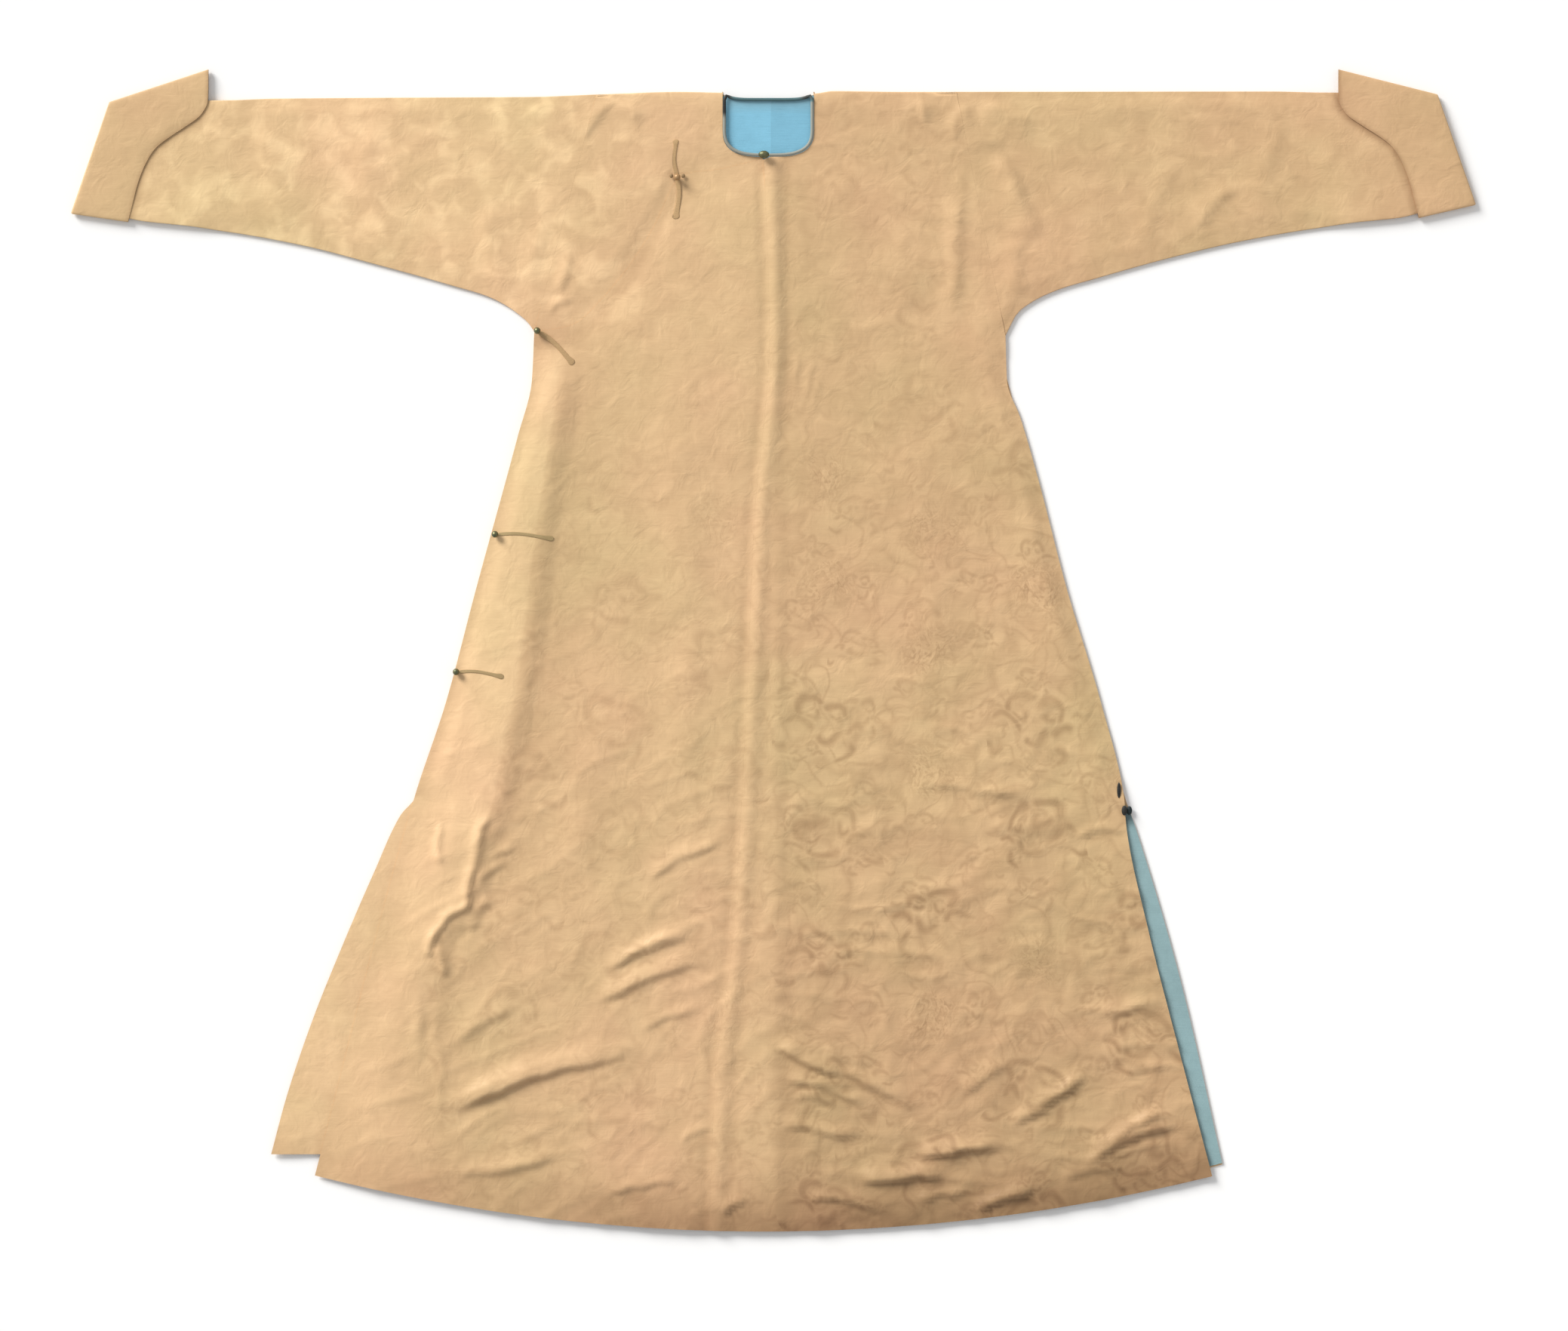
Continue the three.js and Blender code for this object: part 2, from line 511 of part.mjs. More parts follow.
function horseshoeCuff(side) {
  const { foldRadius: bend, halfHeight, returnDepth } = cuff;
  const wall = shell;
  const arc = (radius, angles) => angles.map((degrees) => {
    const angle = THREE.MathUtils.degToRad(degrees);
    const rise = radius * Math.sin(angle);
    return { back: bend - radius * Math.cos(angle), half: halfHeight - bend + rise, inset: bend - rise };
  });
  const outsideHalf = halfHeight;
  const insideHalf = halfHeight - wall;
  const reach = [0, 0.25, 0.5, 0.75];
  const profile = [
    ...reach.map((share) => ({ share, half: outsideHalf, inset: 0 })),
    ...arc(bend, [90, 45, 0, -45, -90]),
    { back: returnDepth, half: halfHeight - 2 * bend, inset: 2 * bend },
    { back: returnDepth, half: halfHeight - 2 * bend + wall, inset: 2 * bend - wall },
    ...arc(bend - wall, [-90, 0, 90]),
    ...[...reach].reverse().map((share) => ({ share, half: insideHalf, inset: wall })),
  ];
  return ringWall(tubePoints, profile.length, (k, j) => {
    const { share, back, half, inset } = profile[j];
    const { v, inward, lift } = turnOf(k);
    let [x, y] = endLine(side, v, back ?? bend);
    if (share !== undefined) {
      x = mix(cuffEdgeX(v), x, share);
      y = mix(cuffEdgeY(v) - cuffEnd[side].drop * v, y, share);
    }
    return [sign(side) * x, y - inset * inward, halfHeight + half * lift];
  });
}

// ---------- fastenings ----------
// Top of a piece that is already in the robe, straight below a point.
const plumb = new THREE.Raycaster();
const plumbFrom = 100;          // well above the robe
function topOf(pieceName, x, y) {
  plumb.set(new THREE.Vector3(x, y, plumbFrom), new THREE.Vector3(0, 0, -1));
  const [hit] = plumb.intersectObject(robe.getObjectByName(pieceName));
  return hit ? hit.point.z : outerLayerZ(x, y) + shell;
}

function flatStrap(x1, y1, x2, y2, carrier) {
  const length = Math.hypot(x2 - x1, y2 - y1);
  const start = button.shank + gap;
  const steps = 8;
  const [dx, dy] = [(x2 - x1) / length, (y2 - y1) / length];
  return clothWall(steps + 1, 3, (j, i, upper) => {
    const along = mix(start, length, j / steps);
    const across = (i / 2 - 0.5) * strap.width;
    const [x, y] = [x1 + dx * along - dy * across, y1 + dy * along + dx * across];
    return [x, y, topOf(carrier, x, y) + gap + (upper ? strap.thickness : 0)];
  });
}

function ballButton(x, y, carrier) {
  const { radius, shank, shankHeight } = button;
  const seats = [[0, 0], [shank, 0], [-shank, 0], [0, shank], [0, -shank]];
  const z = gap + Math.max(...seats.map(([dx, dy]) => topOf(carrier, x + dx, y + dy)));
  const centre = shankHeight + radius;
  const start = Math.asin(shank / radius);
  const steps = 9;
  const profile = [[0, 0], [shank, 0]];
  for (let n = 0; n < steps; n++) {
    const angle = mix(start, Math.PI, n / steps);
    profile.push([radius * Math.sin(angle), centre - radius * Math.cos(angle)]);
  }
  profile.push([0, centre + radius]);
  const geometry = new THREE.LatheGeometry(profile.map(([r, h]) => new THREE.Vector2(r, h)), 14);
  geometry.rotateX(Math.PI / 2);
  geometry.translate(x, y, z);
  return geometry;
}

function ventTackGeometry() {
  const { x, y, width, length, height } = ventTack;
  return new THREE.BoxGeometry(width, length, height).translate(x, y, frontZ + height / 2);
}

// ---------- the robe ----------
const underlapInner = (y) => mix(underlapEdge, centreX(y), smooth((y - underlapNeck.y) / underlapNeck.ease));
addPiece('right_length', bodyLength('right', 'backRight', 'underlap', underlapInner, underlapHem), damask);
addPiece('left_length', bodyLength('left', 'backLeft', 'frontLeft', centreX, frontHem), damask);
addPiece('overlap', overlap(), damask);
addPiece('lining_right', backLining('right'), blueSilk);
addPiece('lining_left', backLining('left'), blueSilk);
addPiece('neck_binding', neckBinding(), darkSilk);
for (const side of ['right', 'left']) {
  addPiece(`${side}_sleeve`, sleeve(side), damask);
  addPiece(`${side}_cuff`, horseshoeCuff(side), damask);
}
for (const { name, x, y, straps } of fastenings) {
  addPiece(`button_${name}`, ballButton(x, y, 'overlap'), brass);
  for (const { name: strapName, x: endX, y: endY, carrier } of straps) {
    addPiece(strapName, flatStrap(x, y, endX, endY, carrier), damask);
  }
}
const onBinding = [centreX(neck.y), neck.y - neck.below + gap + binding.width / 2];
addPiece('button_neck', ballButton(...onBinding, 'neck_binding'), brass);
addPiece('vent_tack', ventTackGeometry(), darkSilk);

export default robe;
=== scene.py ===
# A long silk damask robe laid flat on its back, looked at from straight above.
import math
from functools import reduce

import bmesh
import bpy
import numpy as np
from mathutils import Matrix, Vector


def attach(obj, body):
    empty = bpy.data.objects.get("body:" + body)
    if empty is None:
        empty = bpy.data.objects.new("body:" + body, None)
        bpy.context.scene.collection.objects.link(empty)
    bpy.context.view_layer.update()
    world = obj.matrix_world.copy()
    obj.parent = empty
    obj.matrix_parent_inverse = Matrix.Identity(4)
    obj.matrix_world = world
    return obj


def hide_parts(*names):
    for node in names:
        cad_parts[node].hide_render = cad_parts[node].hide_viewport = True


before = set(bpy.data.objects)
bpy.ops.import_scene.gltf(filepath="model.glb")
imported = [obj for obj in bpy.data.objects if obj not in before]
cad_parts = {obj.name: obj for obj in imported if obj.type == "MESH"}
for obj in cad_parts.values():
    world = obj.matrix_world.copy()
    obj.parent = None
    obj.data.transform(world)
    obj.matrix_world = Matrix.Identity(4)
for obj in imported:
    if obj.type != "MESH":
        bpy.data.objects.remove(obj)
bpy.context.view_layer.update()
print("frame loaded")

mm = 0.001  # every size below is in millimetres, and becomes metres where a mesh is made

cloth = {"shell": 1.2, "lining": 1.0, "gap": 0.3, "centreBack": -3, "seamRoll": 26, "stepStart": 1,
         "stepWidth": 20, "foldRadius": 2.0, "frontZ": 2.8, "liningZ": 1.5, "join": 0.04, "feather": 46,
         "thinEdge": 0.25, "seamHold": 0.85}
layerRise = cloth["shell"] + cloth["gap"]
armpitY = {"right": 401, "left": 396}
ventTop = -184

# Outlines: the first number of a row is the height or distance asked for, the second is the answer.
rightSide = [(401, 301), (339, 303), (268, 320.5), (78, 372.5), (-65, 410.5)]
leftSide = [(396, 292), (339, 294), (292, 311), (220, 332), (78, 369), (-65, 412)]
outlines = {
    "shoulderLine": [(-836, 690.5), (-703, 693.5), (-500, 695.5), (-309, 696.5), (-214, 700), (-119, 703),
                     (-64, 702), (51, 701), (75, 704), (166, 703), (690, 703.5), (836, 700)],
    "rightUnderarm": [(301, 401), (311, 415), (356, 444), (404, 459), (499, 485.5), (594, 510), (689, 527),
                      (809, 540), (881, 549)],
    "leftUnderarm": [(292, 396), (309, 426.5), (356, 453), (404, 467.5), (499, 494), (594, 516), (689, 532),
                     (815, 546), (886, 560)],
    "rightSeam": [(401, 301), (702, 222)],
    "leftSeam": [(396, 292), (704, 230)],
    "overlapEdge": [(401, 301), (339, 304), (268, 322), (78, 374), (-65, 412), (-186, 452), (-661, 577)],
    "underlapSide": rightSide + [(-186, 451), (-207, 469), (-278, 502), (-373, 543), (-468, 581),
                                 (-563, 613), (-634, 632)],
    "backRightSide": rightSide + [(-186, 450), (-648, 568)],
    "frontLeftSide": leftSide + [(-184, 441), (-221, 444), (-357, 473), (-501, 510), (-660, 552)],
    "backLeftSide": leftSide + [(-184, 442), (-224, 456), (-415, 512), (-647, 565)],
    "centreFront": [(621, -12), (394, -5), (162, -24), (-71, -34), (-362, -51), (-537, -73), (-731, -81)],
    "overlapTop": [(-301, 401), (-276, 404), (-252, 410), (-214, 444), (-176, 491), (-147, 539), (-124, 588),
                   (-108, 600), (-71, 605), (-34, 613), (-12, 619)],
    "ridgeLine": [(400, -262), (353, -266), (135, -297), (50, -306), (-28, -317), (-116, -334), (-207, -354),
                  (-260, -375), (-321, -386), (-378, -427), (-587, -432), (-700, -436)],
    "cuffEdgeX": [(0, 711), (0.1, 711), (0.2, 711.5), (0.28, 720), (0.38, 740), (0.48, 758), (0.58, 777),
                  (0.67, 789), (0.78, 799), (0.9, 806), (1, 812)],
    "cuffEdgeY": [(0, 731), (0.1, 712), (0.2, 692), (0.28, 675), (0.38, 660), (0.48, 648.5), (0.58, 634),
                  (0.67, 616), (0.78, 592), (0.9, 566), (1, 543)],
}


def smoothCurve(rows):
    # passes through every row and never overshoots them
    xs, ys = np.array(sorted(rows), float).T
    steps = np.diff(ys) / np.diff(xs)
    before, after = np.append(steps[:1], steps), np.append(steps, steps[-1:])
    product, total = before * after, before + after
    slopes = np.where(product > 0, 2 * product / np.where(total == 0, 1, total), 0)

    def at(value):
        value = np.clip(value, xs[0], xs[-1])
        i = np.clip(np.searchsorted(xs, value) - 1, 0, len(xs) - 2)
        width = xs[i + 1] - xs[i]
        t = (value - xs[i]) / width
        ends = ys[i] * (1 + 2 * t) * (1 - t) ** 2 + ys[i + 1] * t * t * (3 - 2 * t)
        return ends + width * t * (1 - t) * (slopes[i] * (1 - t) - slopes[i + 1] * t)
    return at


def ease(value):
    value = np.clip(value, 0, 1)
    return value * value * (3 - 2 * value)


def mix(a, b, share):
    return a + (b - a) * share


def lineShade(distance, width):
    # 1 on a line, and soon less beside it
    return np.exp(-(distance / width) ** 2)


outline = {name: smoothCurve(rows) for name, rows in outlines.items()}
sideSign = {"right": -1, "left": 1}


def frontHem(x):
    return -731 + 70 * ((x + 11) / 565) ** 2


def backHem(x):
    return -726 + 79 * ((x + 3) / 568) ** 2


def underlapHem(x):
    return -634 - 66 * ease((x + 574) / 574)


# Folds and creases: ends, sideways bow, width of the gentle flank, share of it that the steep flank
# takes, and height. The steep flank is the lower one.
folds = [
    (-415, -583, -164, -504, 9, 40, 0.2, 6.4), (-402, -494, -312, -443, 5, 32, 0.4, 3.0),
    (-225, -444, -74, -388, 7, 32, 0.26, 4.0), (-214, -405, -98, -355, 6, 28, 0.28, 3.6),
    (-190, -386, -116, -352, 4, 18, 0.3, 2.6), (-160, -289, -54, -238, 5, 26, 0.3, 3.0),
    (-404, -658, -262, -634, -5, 26, 0.34, 3.2), (-170, -478, -86, -452, 5, 20, 0.35, 2.2),
    (-214, -690, -112, -664, 6, 20, 0.35, 2.6), (-120, -620, -70, -600, 3, 16, 0.4, 2.0),
    (2, -490, 102, -537, -7, 28, 0.22, 6.2), (82, -527, 176, -579, 4, 26, 0.24, 5.0),
    (6, -537, 134, -588, 12, 26, 0.28, 4.0), (6, -593, 110, -612, -3, 24, 0.28, 4.0),
    (24, -560, 84, -570, 3, 16, 0.35, 2.4), (60, -500, 130, -520, -4, 24, 0.35, 2.4),
    (106, -669, 226, -655, -3, 26, 0.15, 7.4), (176, -641, 304, -626, 6, 28, 0.18, 6.6),
    (300, -598, 354, -577, 2, 22, 0.26, 4.6), (328, -575, 398, -528, -6, 24, 0.24, 5.0),
    (392, -648, 526, -601, 14, 30, 0.22, 5.4), (420, -622, 500, -586, 8, 20, 0.3, 3.4),
    (-68, -706, -30, -689, 2, 16, 0.26, 4.6), (252, -711, 340, -673, 4, 26, 0.22, 5.4),
    (36, -690, 150, -706, 6, 20, 0.3, 3.6), (180, -690, 250, -684, 3, 18, 0.3, 3.4),
    (360, -668, 440, -650, 4, 20, 0.3, 3.2), (240, -560, 300, -520, 5, 22, 0.35, 2.6),
    (440, -540, 500, -524, 4, 20, 0.35, 2.4), (410, -460, 480, -448, 4, 20, 0.35, 2.2),
    (380, -240, 446, -222, 4, 18, 0.35, 2.4), (190, -170, 330, -186, 4, 22, 0.4, 2.0),
    (-379, -274, -350, -198, 4, 17, 0.4, 3.2), (-389, -334, -370, -252, 3, 18, 0.4, 3.6),
    (-431, -372, -378, -314, 7, 18, 0.4, 4.2), (-430, -388, -418, -352, 3, 14, 0.4, 3.6),
    (-412, -414, -431, -374, -4, 15, 0.45, 3.4), (-374, -296, -332, -262, 5, 18, 0.5, 2.4),
    (-386, -356, -344, -312, 5, 20, 0.5, 2.6), (-360, -262, -322, -244, 4, 16, 0.5, 2.0),
    (-418, -272, -416, -208, 2, 12, 0.5, 3.0),
    (-446, -520, -440, -420, 4, 24, 0.5, 1.6), (-419, -600, -421, -440, 2, 14, 0.9, 1.3),
    (30, 330, 34, 376, 2, 9, 0.6, 0.7), (44, 312, 50, 370, -3, 12, 0.6, 0.9),
    (58, 300, 62, 350, 3, 9, 0.6, 0.8), (230, 412, 236, 610, 3, 26, 0.7, 2.6),
    (227, 688, 290, 622, -4, 15, 2.2, 4.0), (282, 632, 322, 505, 10, 17, 2.2, 4.6),
    (300, 520, 306, 440, 6, 16, 2.0, 2.4), (262, 690, 330, 650, 4, 16, 2.0, 2.6),
    (-212, 697, -170, 655, 5, 26, 0.6, 2.6), (-240, 640, -192, 700, 6, 22, 0.5, 2.2),
    (160, 700, 196, 660, 5, 24, 0.6, 2.2),
    (-300, 450, -280, 550, 9, 24, 0.6, 1.8), (-272, 446, -258, 520, -6, 14, 0.7, 1.6),
    (-284, 424, -246, 440, 4, 14, 0.4, 2.2),
    (-360, 560, -330, 440, -10, 28, 0.8, 2.0), (470, 500, 520, 630, 12, 30, 0.6, 1.2),
    (-520, 660, -470, 500, -12, 40, 0.7, 1.6), (-640, 670, -600, 520, -12, 40, 0.7, 1.4),
    (532, 528, 584, 586, 6, 24, 0.45, 3.0), (620, 526, 640, 680, 12, 40, 0.7, 1.6),
    (60, 600, 190, 420, 24, 70, 1, 1.8), (-130, 300, -120, 20, 16, 60, 1, 1.8),
    (140, 260, 210, -60, 20, 60, 1, 2.0), (300, 180, 360, -60, 16, 50, 1, 1.8),
    (90, -100, 130, -380, 18, 60, 1, 2.2), (240, -120, 320, -400, 18, 60, 1, 2.2),
    (-240, -300, -200, -60, 16, 50, 1, 1.7), (-110, -170, -90, 60, 12, 50, 1, 1.6),
]
# how the crests waver (size, reach), the width above which they waver less, and how their fullness
# varies (size, least share)
unevenness = {"waver": [(15, 6), (44, 10)], "calmFrom": 18, "fullness": (26, 0.7)}
# the shade in the hollow under a steep flank: strength, the folds that have one, and its half width
hollowShade = {"strength": 0.06, "lowest": 2.6, "steepest": 0.5, "width": 4.0}
# the long roll of the overlap: how it wavers (size, reach), and where it fades out above and below
ridge = {"height": 3.5, "outerWidth": 95, "innerWidth": 30, "fullness": 1.05, "waver": (15, 6),
         "waverBelow": -150, "top": 400, "foot": -490}
# the seam down the middle of the front: places across it, widths and heights of its roll and hollows
centreSeam = {"roll": (9, 9, 1.6), "leftHollow": (-6, 7, 0.8), "rightHollow": (25, 9, 0.5)}
swell = {"height": 1.5, "waves": [(0.011, 0.004, 0.4), (0.005, -0.013, 1.9), (-0.017, 0.011, 3.1),
                                 (0.024, 0.019, 4.4), (0.009, 0.031, 5.2), (-0.036, 0.013, 0.9)]}
# small creases all over: size, stretch along the way they run, way in degrees, height
crumples = {"left": [(34, 2.4, 24, 1.5), (17, 2.0, 40, 0.7)],
            "right": [(32, 2.4, -6, 2.0), (16, 2.0, 20, 1.1)]}


seeds = {"waver": 91, "fullness": 93, "crumple": 7, "bend": 40}
latticeSize = 89


def softNoise(x, y, size, seed):
    lattice = np.random.default_rng(seed).random((latticeSize, latticeSize))
    u, v = x / size, y / size
    i, j = np.floor(u).astype(int), np.floor(v).astype(int)
    shareU, shareV = ease(u - i), ease(v - j)
    corners = [[lattice[(i + a) % latticeSize, (j + b) % latticeSize] for a in (0, 1)] for b in (0, 1)]
    return mix(mix(*corners[0], shareU), mix(*corners[1], shareU), shareV)


def crumpleRelief(x, y):
    towardsHem, towardsLeft = ease((120 - y) / 500), ease((x + 40) / 200)
    strength = mix(0.35, 1, towardsHem) * mix(0.8, 1, towardsLeft)
    halves = []
    for half, rows in enumerate(crumples.values()):
        total = np.zeros(np.shape(x))
        for size, stretch, way, height in rows:
            turn = math.radians(way)
            bend = 1.6 * size * softNoise(x, y, 3.1 * size, seeds["bend"] + half)
            along = (x * math.cos(turn) + y * math.sin(turn)) / stretch
            across = y * math.cos(turn) - x * math.sin(turn) + bend
            crest = 1 - np.abs(2 * softNoise(along, across, size, seeds["crumple"] + half) - 1)
            total += height * crest ** 3
        halves.append(total)
    return strength * mix(*halves, ease((x + 60) / 120))


def acrossFolds(x, y):
    # for each fold: how far a place lies above its wavering crest, how full the fold is there, and its row
    waver = sum(reach * (softNoise(x, y, size, seeds["waver"]) - 0.5) for size, reach in unevenness["waver"])
    size, least = unevenness["fullness"]
    fullness = mix(least, 2 - least, softNoise(x, y, size, seeds["fullness"]))
    for x1, y1, x2, y2, bow, *shape in folds:
        if x2 < x1:
            x1, y1, x2, y2, bow = x2, y2, x1, y1, -bow
        length = math.hypot(x2 - x1, y2 - y1)
        ux, uy = (x2 - x1) / length, (y2 - y1) / length
        along = ((x - x1) * ux + (y - y1) * uy) / length
        bowed = bow * 4 * along * (1 - along)
        across = (y - y1) * ux - (x - x1) * uy - bowed + waver * min(1, unevenness["calmFrom"] / shape[0])
        yield across, fullness * ease(5 * along) * ease(3 * (1 - along)), shape


def foldRelief(x, y):
    total = np.zeros(np.shape(x))
    for across, taper, (width, steep, height) in acrossFolds(x, y):
        flank = np.where(across > 0, width, width * steep) / 2
        total += height * taper * np.exp(-(across / flank) ** 2)
    return total


def foldShade(x, y):
    # the hollow under each steep flank, deeper under the higher folds
    total = np.zeros(np.shape(x))
    for across, taper, (width, steep, height) in acrossFolds(x, y):
        if steep < hollowShade["steepest"]:
            hollow = across + 0.5 * width * steep + 1
            deep = hollowShade["strength"] * max(0, height - hollowShade["lowest"])
            total += deep * taper * lineShade(hollow, hollowShade["width"])
    return total


def swellRelief(x, y):
    waves = [np.sin(x * kx + y * ky + start + 0.8 * np.sin(y * 0.012 + start))
             for kx, ky, start in swell["waves"]]
    return swell["height"] * (0.5 + sum(waves) / (2 * len(waves)))


def ridgeRelief(x, y):
    size, reach = ridge["waver"]
    waver = reach * (softNoise(x, y, size, seeds["waver"]) - 0.5) * ease((ridge["waverBelow"] - y) / 80)
    out = outline["ridgeLine"](y) - x + waver
    share = np.where(out > 0, 1 - out / ridge["outerWidth"], 1 + out / ridge["innerWidth"])
    along = ease((ridge["top"] - y) / 120) * ease((y - ridge["foot"]) / 130)
    return ridge["height"] * ease(share * ridge["fullness"]) * along


def seamRelief(x, y):
    off = x - outline["centreFront"](y)
    lines = [height * lineShade(off - place, width) for place, width, height in centreSeam.values()]
    return ease((622 - y) / 20) * (lines[0] - lines[1] - lines[2])


def looseRelief(x, y):
    return 0.5 + foldRelief(x, y) + swellRelief(x, y) + crumpleRelief(x, y)


def seamClosing(x, y):
    edge = np.where(x > 0, outline["frontLeftSide"](y), outline["underlapSide"](y))
    top = np.where(x > 0, armpitY["left"], armpitY["right"])
    along = np.clip((top - y) / 30, 0, 1) * np.clip((y - ventTop) / 30, 0, 1)
    return along * ease((np.abs(x) - edge + cloth["seamRoll"]) / cloth["seamRoll"])


def firstLayerZ(x, y):
    return cloth["frontZ"] - (cloth["frontZ"] - layerRise) * seamClosing(x, y)


def cornerFade(x, y):
    # the relief dies out towards the shoulder fold and the armpits
    armpit = np.minimum(np.hypot(x - 292, y - armpitY["left"]), np.hypot(x + 301, y - armpitY["right"]))
    return ease((outline["shoulderLine"](x) - y) / 22) * ease(armpit / 30)


def outerLayerZ(x, y):
    stacked = layerRise * ease(1 - (x - cloth["stepStart"]) / cloth["stepWidth"])
    loose = 1 - cloth["seamHold"] * seamClosing(x, y)
    # the overlap lies calmer near the edge that runs from its neck to the armpit
    calm = np.where((x < -14) & (y > 300), ease((outline["overlapTop"](x) - y) / 90), 1)
    calm = mix(calm, 1, ease((x + 90) / 70))
    relief = calm * looseRelief(x, y) * cornerFade(x, y) + seamRelief(x, y)
    return firstLayerZ(x, y) + stacked + ridgeRelief(x, y) + loose * relief


def underLayerZ(x, y):
    # the wearer's right front lies free above the overlap and outside its side edge, and flat beneath it
    above = ease((y - outline["overlapTop"](x) - 3) / 40) * (x < -14)
    beside = 0.5 * ease((-x - outline["overlapEdge"](y) - 2) / 40) * (y < ventTop)
    return firstLayerZ(x, y) + np.where(y > 400, above, beside) * looseRelief(x, y) * cornerFade(x, y)


weldReach = 1e-6  # corners nearer to each other than this become one


def mappedGrid(name, points, around=False):
    # points: rows by columns by three; around closes the last row onto the first
    rows, columns = points.shape[:2]
    if around:
        points = np.concatenate((points, points[:1]))
        rows += 1
    bm = bmesh.new()
    bmesh.ops.create_grid(bm, x_segments=columns - 1, y_segments=rows - 1, size=1)
    for vertex in bm.verts:
        i = round((vertex.co.x + 1) / 2 * (columns - 1))
        j = round((vertex.co.y + 1) / 2 * (rows - 1))
        vertex.co = points[j, i] * mm
    if around:
        bmesh.ops.remove_doubles(bm, verts=bm.verts, dist=weldReach)
    bm.normal_update()
    highest = max(bm.faces, key=lambda face: face.calc_center_median().z)
    if highest.normal.z < 0:
        bmesh.ops.reverse_faces(bm, faces=bm.faces)
    return finishMesh(name, bm)


def finishMesh(name, bm):
    # smooth but for the edges of open cloth
    for face in bm.faces:
        face.smooth = True
    for edge in bm.edges:
        edge.smooth = not edge.is_boundary
    mesh = bpy.data.meshes.new(name)
    bm.to_mesh(mesh)
    bm.free()
    piece = bpy.data.objects.new(name, mesh)
    bpy.context.scene.collection.objects.link(piece)
    return piece


def thicken(piece, wall, shares=None):
    solid = piece.modifiers.new("wall", "SOLIDIFY")
    solid.thickness = wall * mm
    solid.offset = -1
    if shares is not None:
        group = piece.vertex_groups.new(name="wall")
        for n, share in enumerate(np.round(shares, 2)):
            group.add([n], float(share), "REPLACE")
        solid.vertex_group = "wall"


def paint(piece, name, values):
    layer = piece.data.attributes.get(name) or piece.data.attributes.new(name, "FLOAT", "POINT")
    layer.data.foreach_set("value", np.asarray(values, np.float32))


def places(piece):
    co = np.zeros(len(piece.data.vertices) * 3)
    piece.data.vertices.foreach_get("co", co)
    return co.reshape(-1, 3).T / mm


def settle(piece, nodes, slotName, material):
    piece.data.materials.append(material)
    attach(piece, "root")
    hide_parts(*nodes)


def spreadRows(middle, side, count):
    # each row runs straight from its point on the middle edge to its point on the side edge
    shares = np.linspace(0, 1, count)
    return middle[:, None, :] + (side - middle)[:, None, :] * shares[None, :, None]


# the neck's opening and the two body lengths
neck = {"x": -6.5, "y": 658, "halfWidth": 57.5, "above": 37, "below": 37, "squareness": 3, "straight": 0.3,
        "back": 691, "underPiping": 2.6, "corner": 699}
lengths = {"upperRows": 60, "foldRows": 7, "middleTop": 425}
# each panel's side edge and hem, the height where they meet, and its rows below the armpit and columns
fronts = {
    "right": {"edge": "underlapSide", "hem": underlapHem, "corner": -634, "rows": 190, "columns": 96},
    "left": {"edge": "frontLeftSide", "hem": frontHem, "corner": -660, "rows": 262, "columns": 122},
}
backs = {"hem": backHem, "corner": -648, "rows": 40, "upperRows": 15, "neckTurns": [0, 0.55, 0.9, 1]}


def neckRise(x, y):
    # the back of the neck rises a little towards its corners
    across = np.abs(x - neck["x"]) / (neck["halfWidth"] - 2)
    near = ease((y - 678) / 12) * ease((1.1 - across) / 0.1)
    return binding["cornerRise"] * np.minimum(across, 1) ** 6 * near


def neckEdge(side, t, inset=0):
    # t runs from the shoulder (0) to the centre-front seam (1)
    s = sideSign[side]
    half = neck["halfWidth"] - inset
    seamShare = s * (float(outline["centreFront"](neck["y"] - neck["below"])) - neck["x"]) / half
    last = math.acos(math.copysign(abs(seamShare) ** (neck["squareness"] / 2), seamShare))
    angle = last * np.clip((t - neck["straight"]) / (1 - neck["straight"]), 0, 1)
    power = 2 / neck["squareness"]
    out = np.sign(np.cos(angle)) * np.abs(np.cos(angle)) ** power
    down = (neck["below"] - inset) * np.sin(angle) ** power
    up = neck["above"] * np.clip(1 - t / neck["straight"], 0, 1)
    return np.stack([neck["x"] + s * half * out, neck["y"] + up - down], -1)


def lowerPanel(side, plan, innerX, inset=lambda y: 0):
    # the part below the armpit, whose rows are pulled down onto the hem's curve as they near it
    t = np.linspace(0, 1, plan["rows"])
    hem = plan["hem"]
    lastY = hem(float(innerX(np.array(hem(0.0)))))
    middleY, sideY = mix(lengths["middleTop"], lastY, t), mix(armpitY[side], plan["corner"], t)
    middle = np.stack([innerX(middleY) + 0 * t, middleY], -1)
    out = np.stack([sideSign[side] * (outline[plan["edge"]](sideY) - inset(sideY)), sideY], -1)
    xy = spreadRows(middle, out, plan["columns"])
    hemX, hemY = xy[-1, :, 0], xy[-1, :, 1]
    xy[:, :, 1] += (t ** 3)[:, None] * (hem(hemX) - hemY)[None, :]
    return xy


def seamTop(side):
    return float(outline["shoulderLine"](sideSign[side] * 226.0))


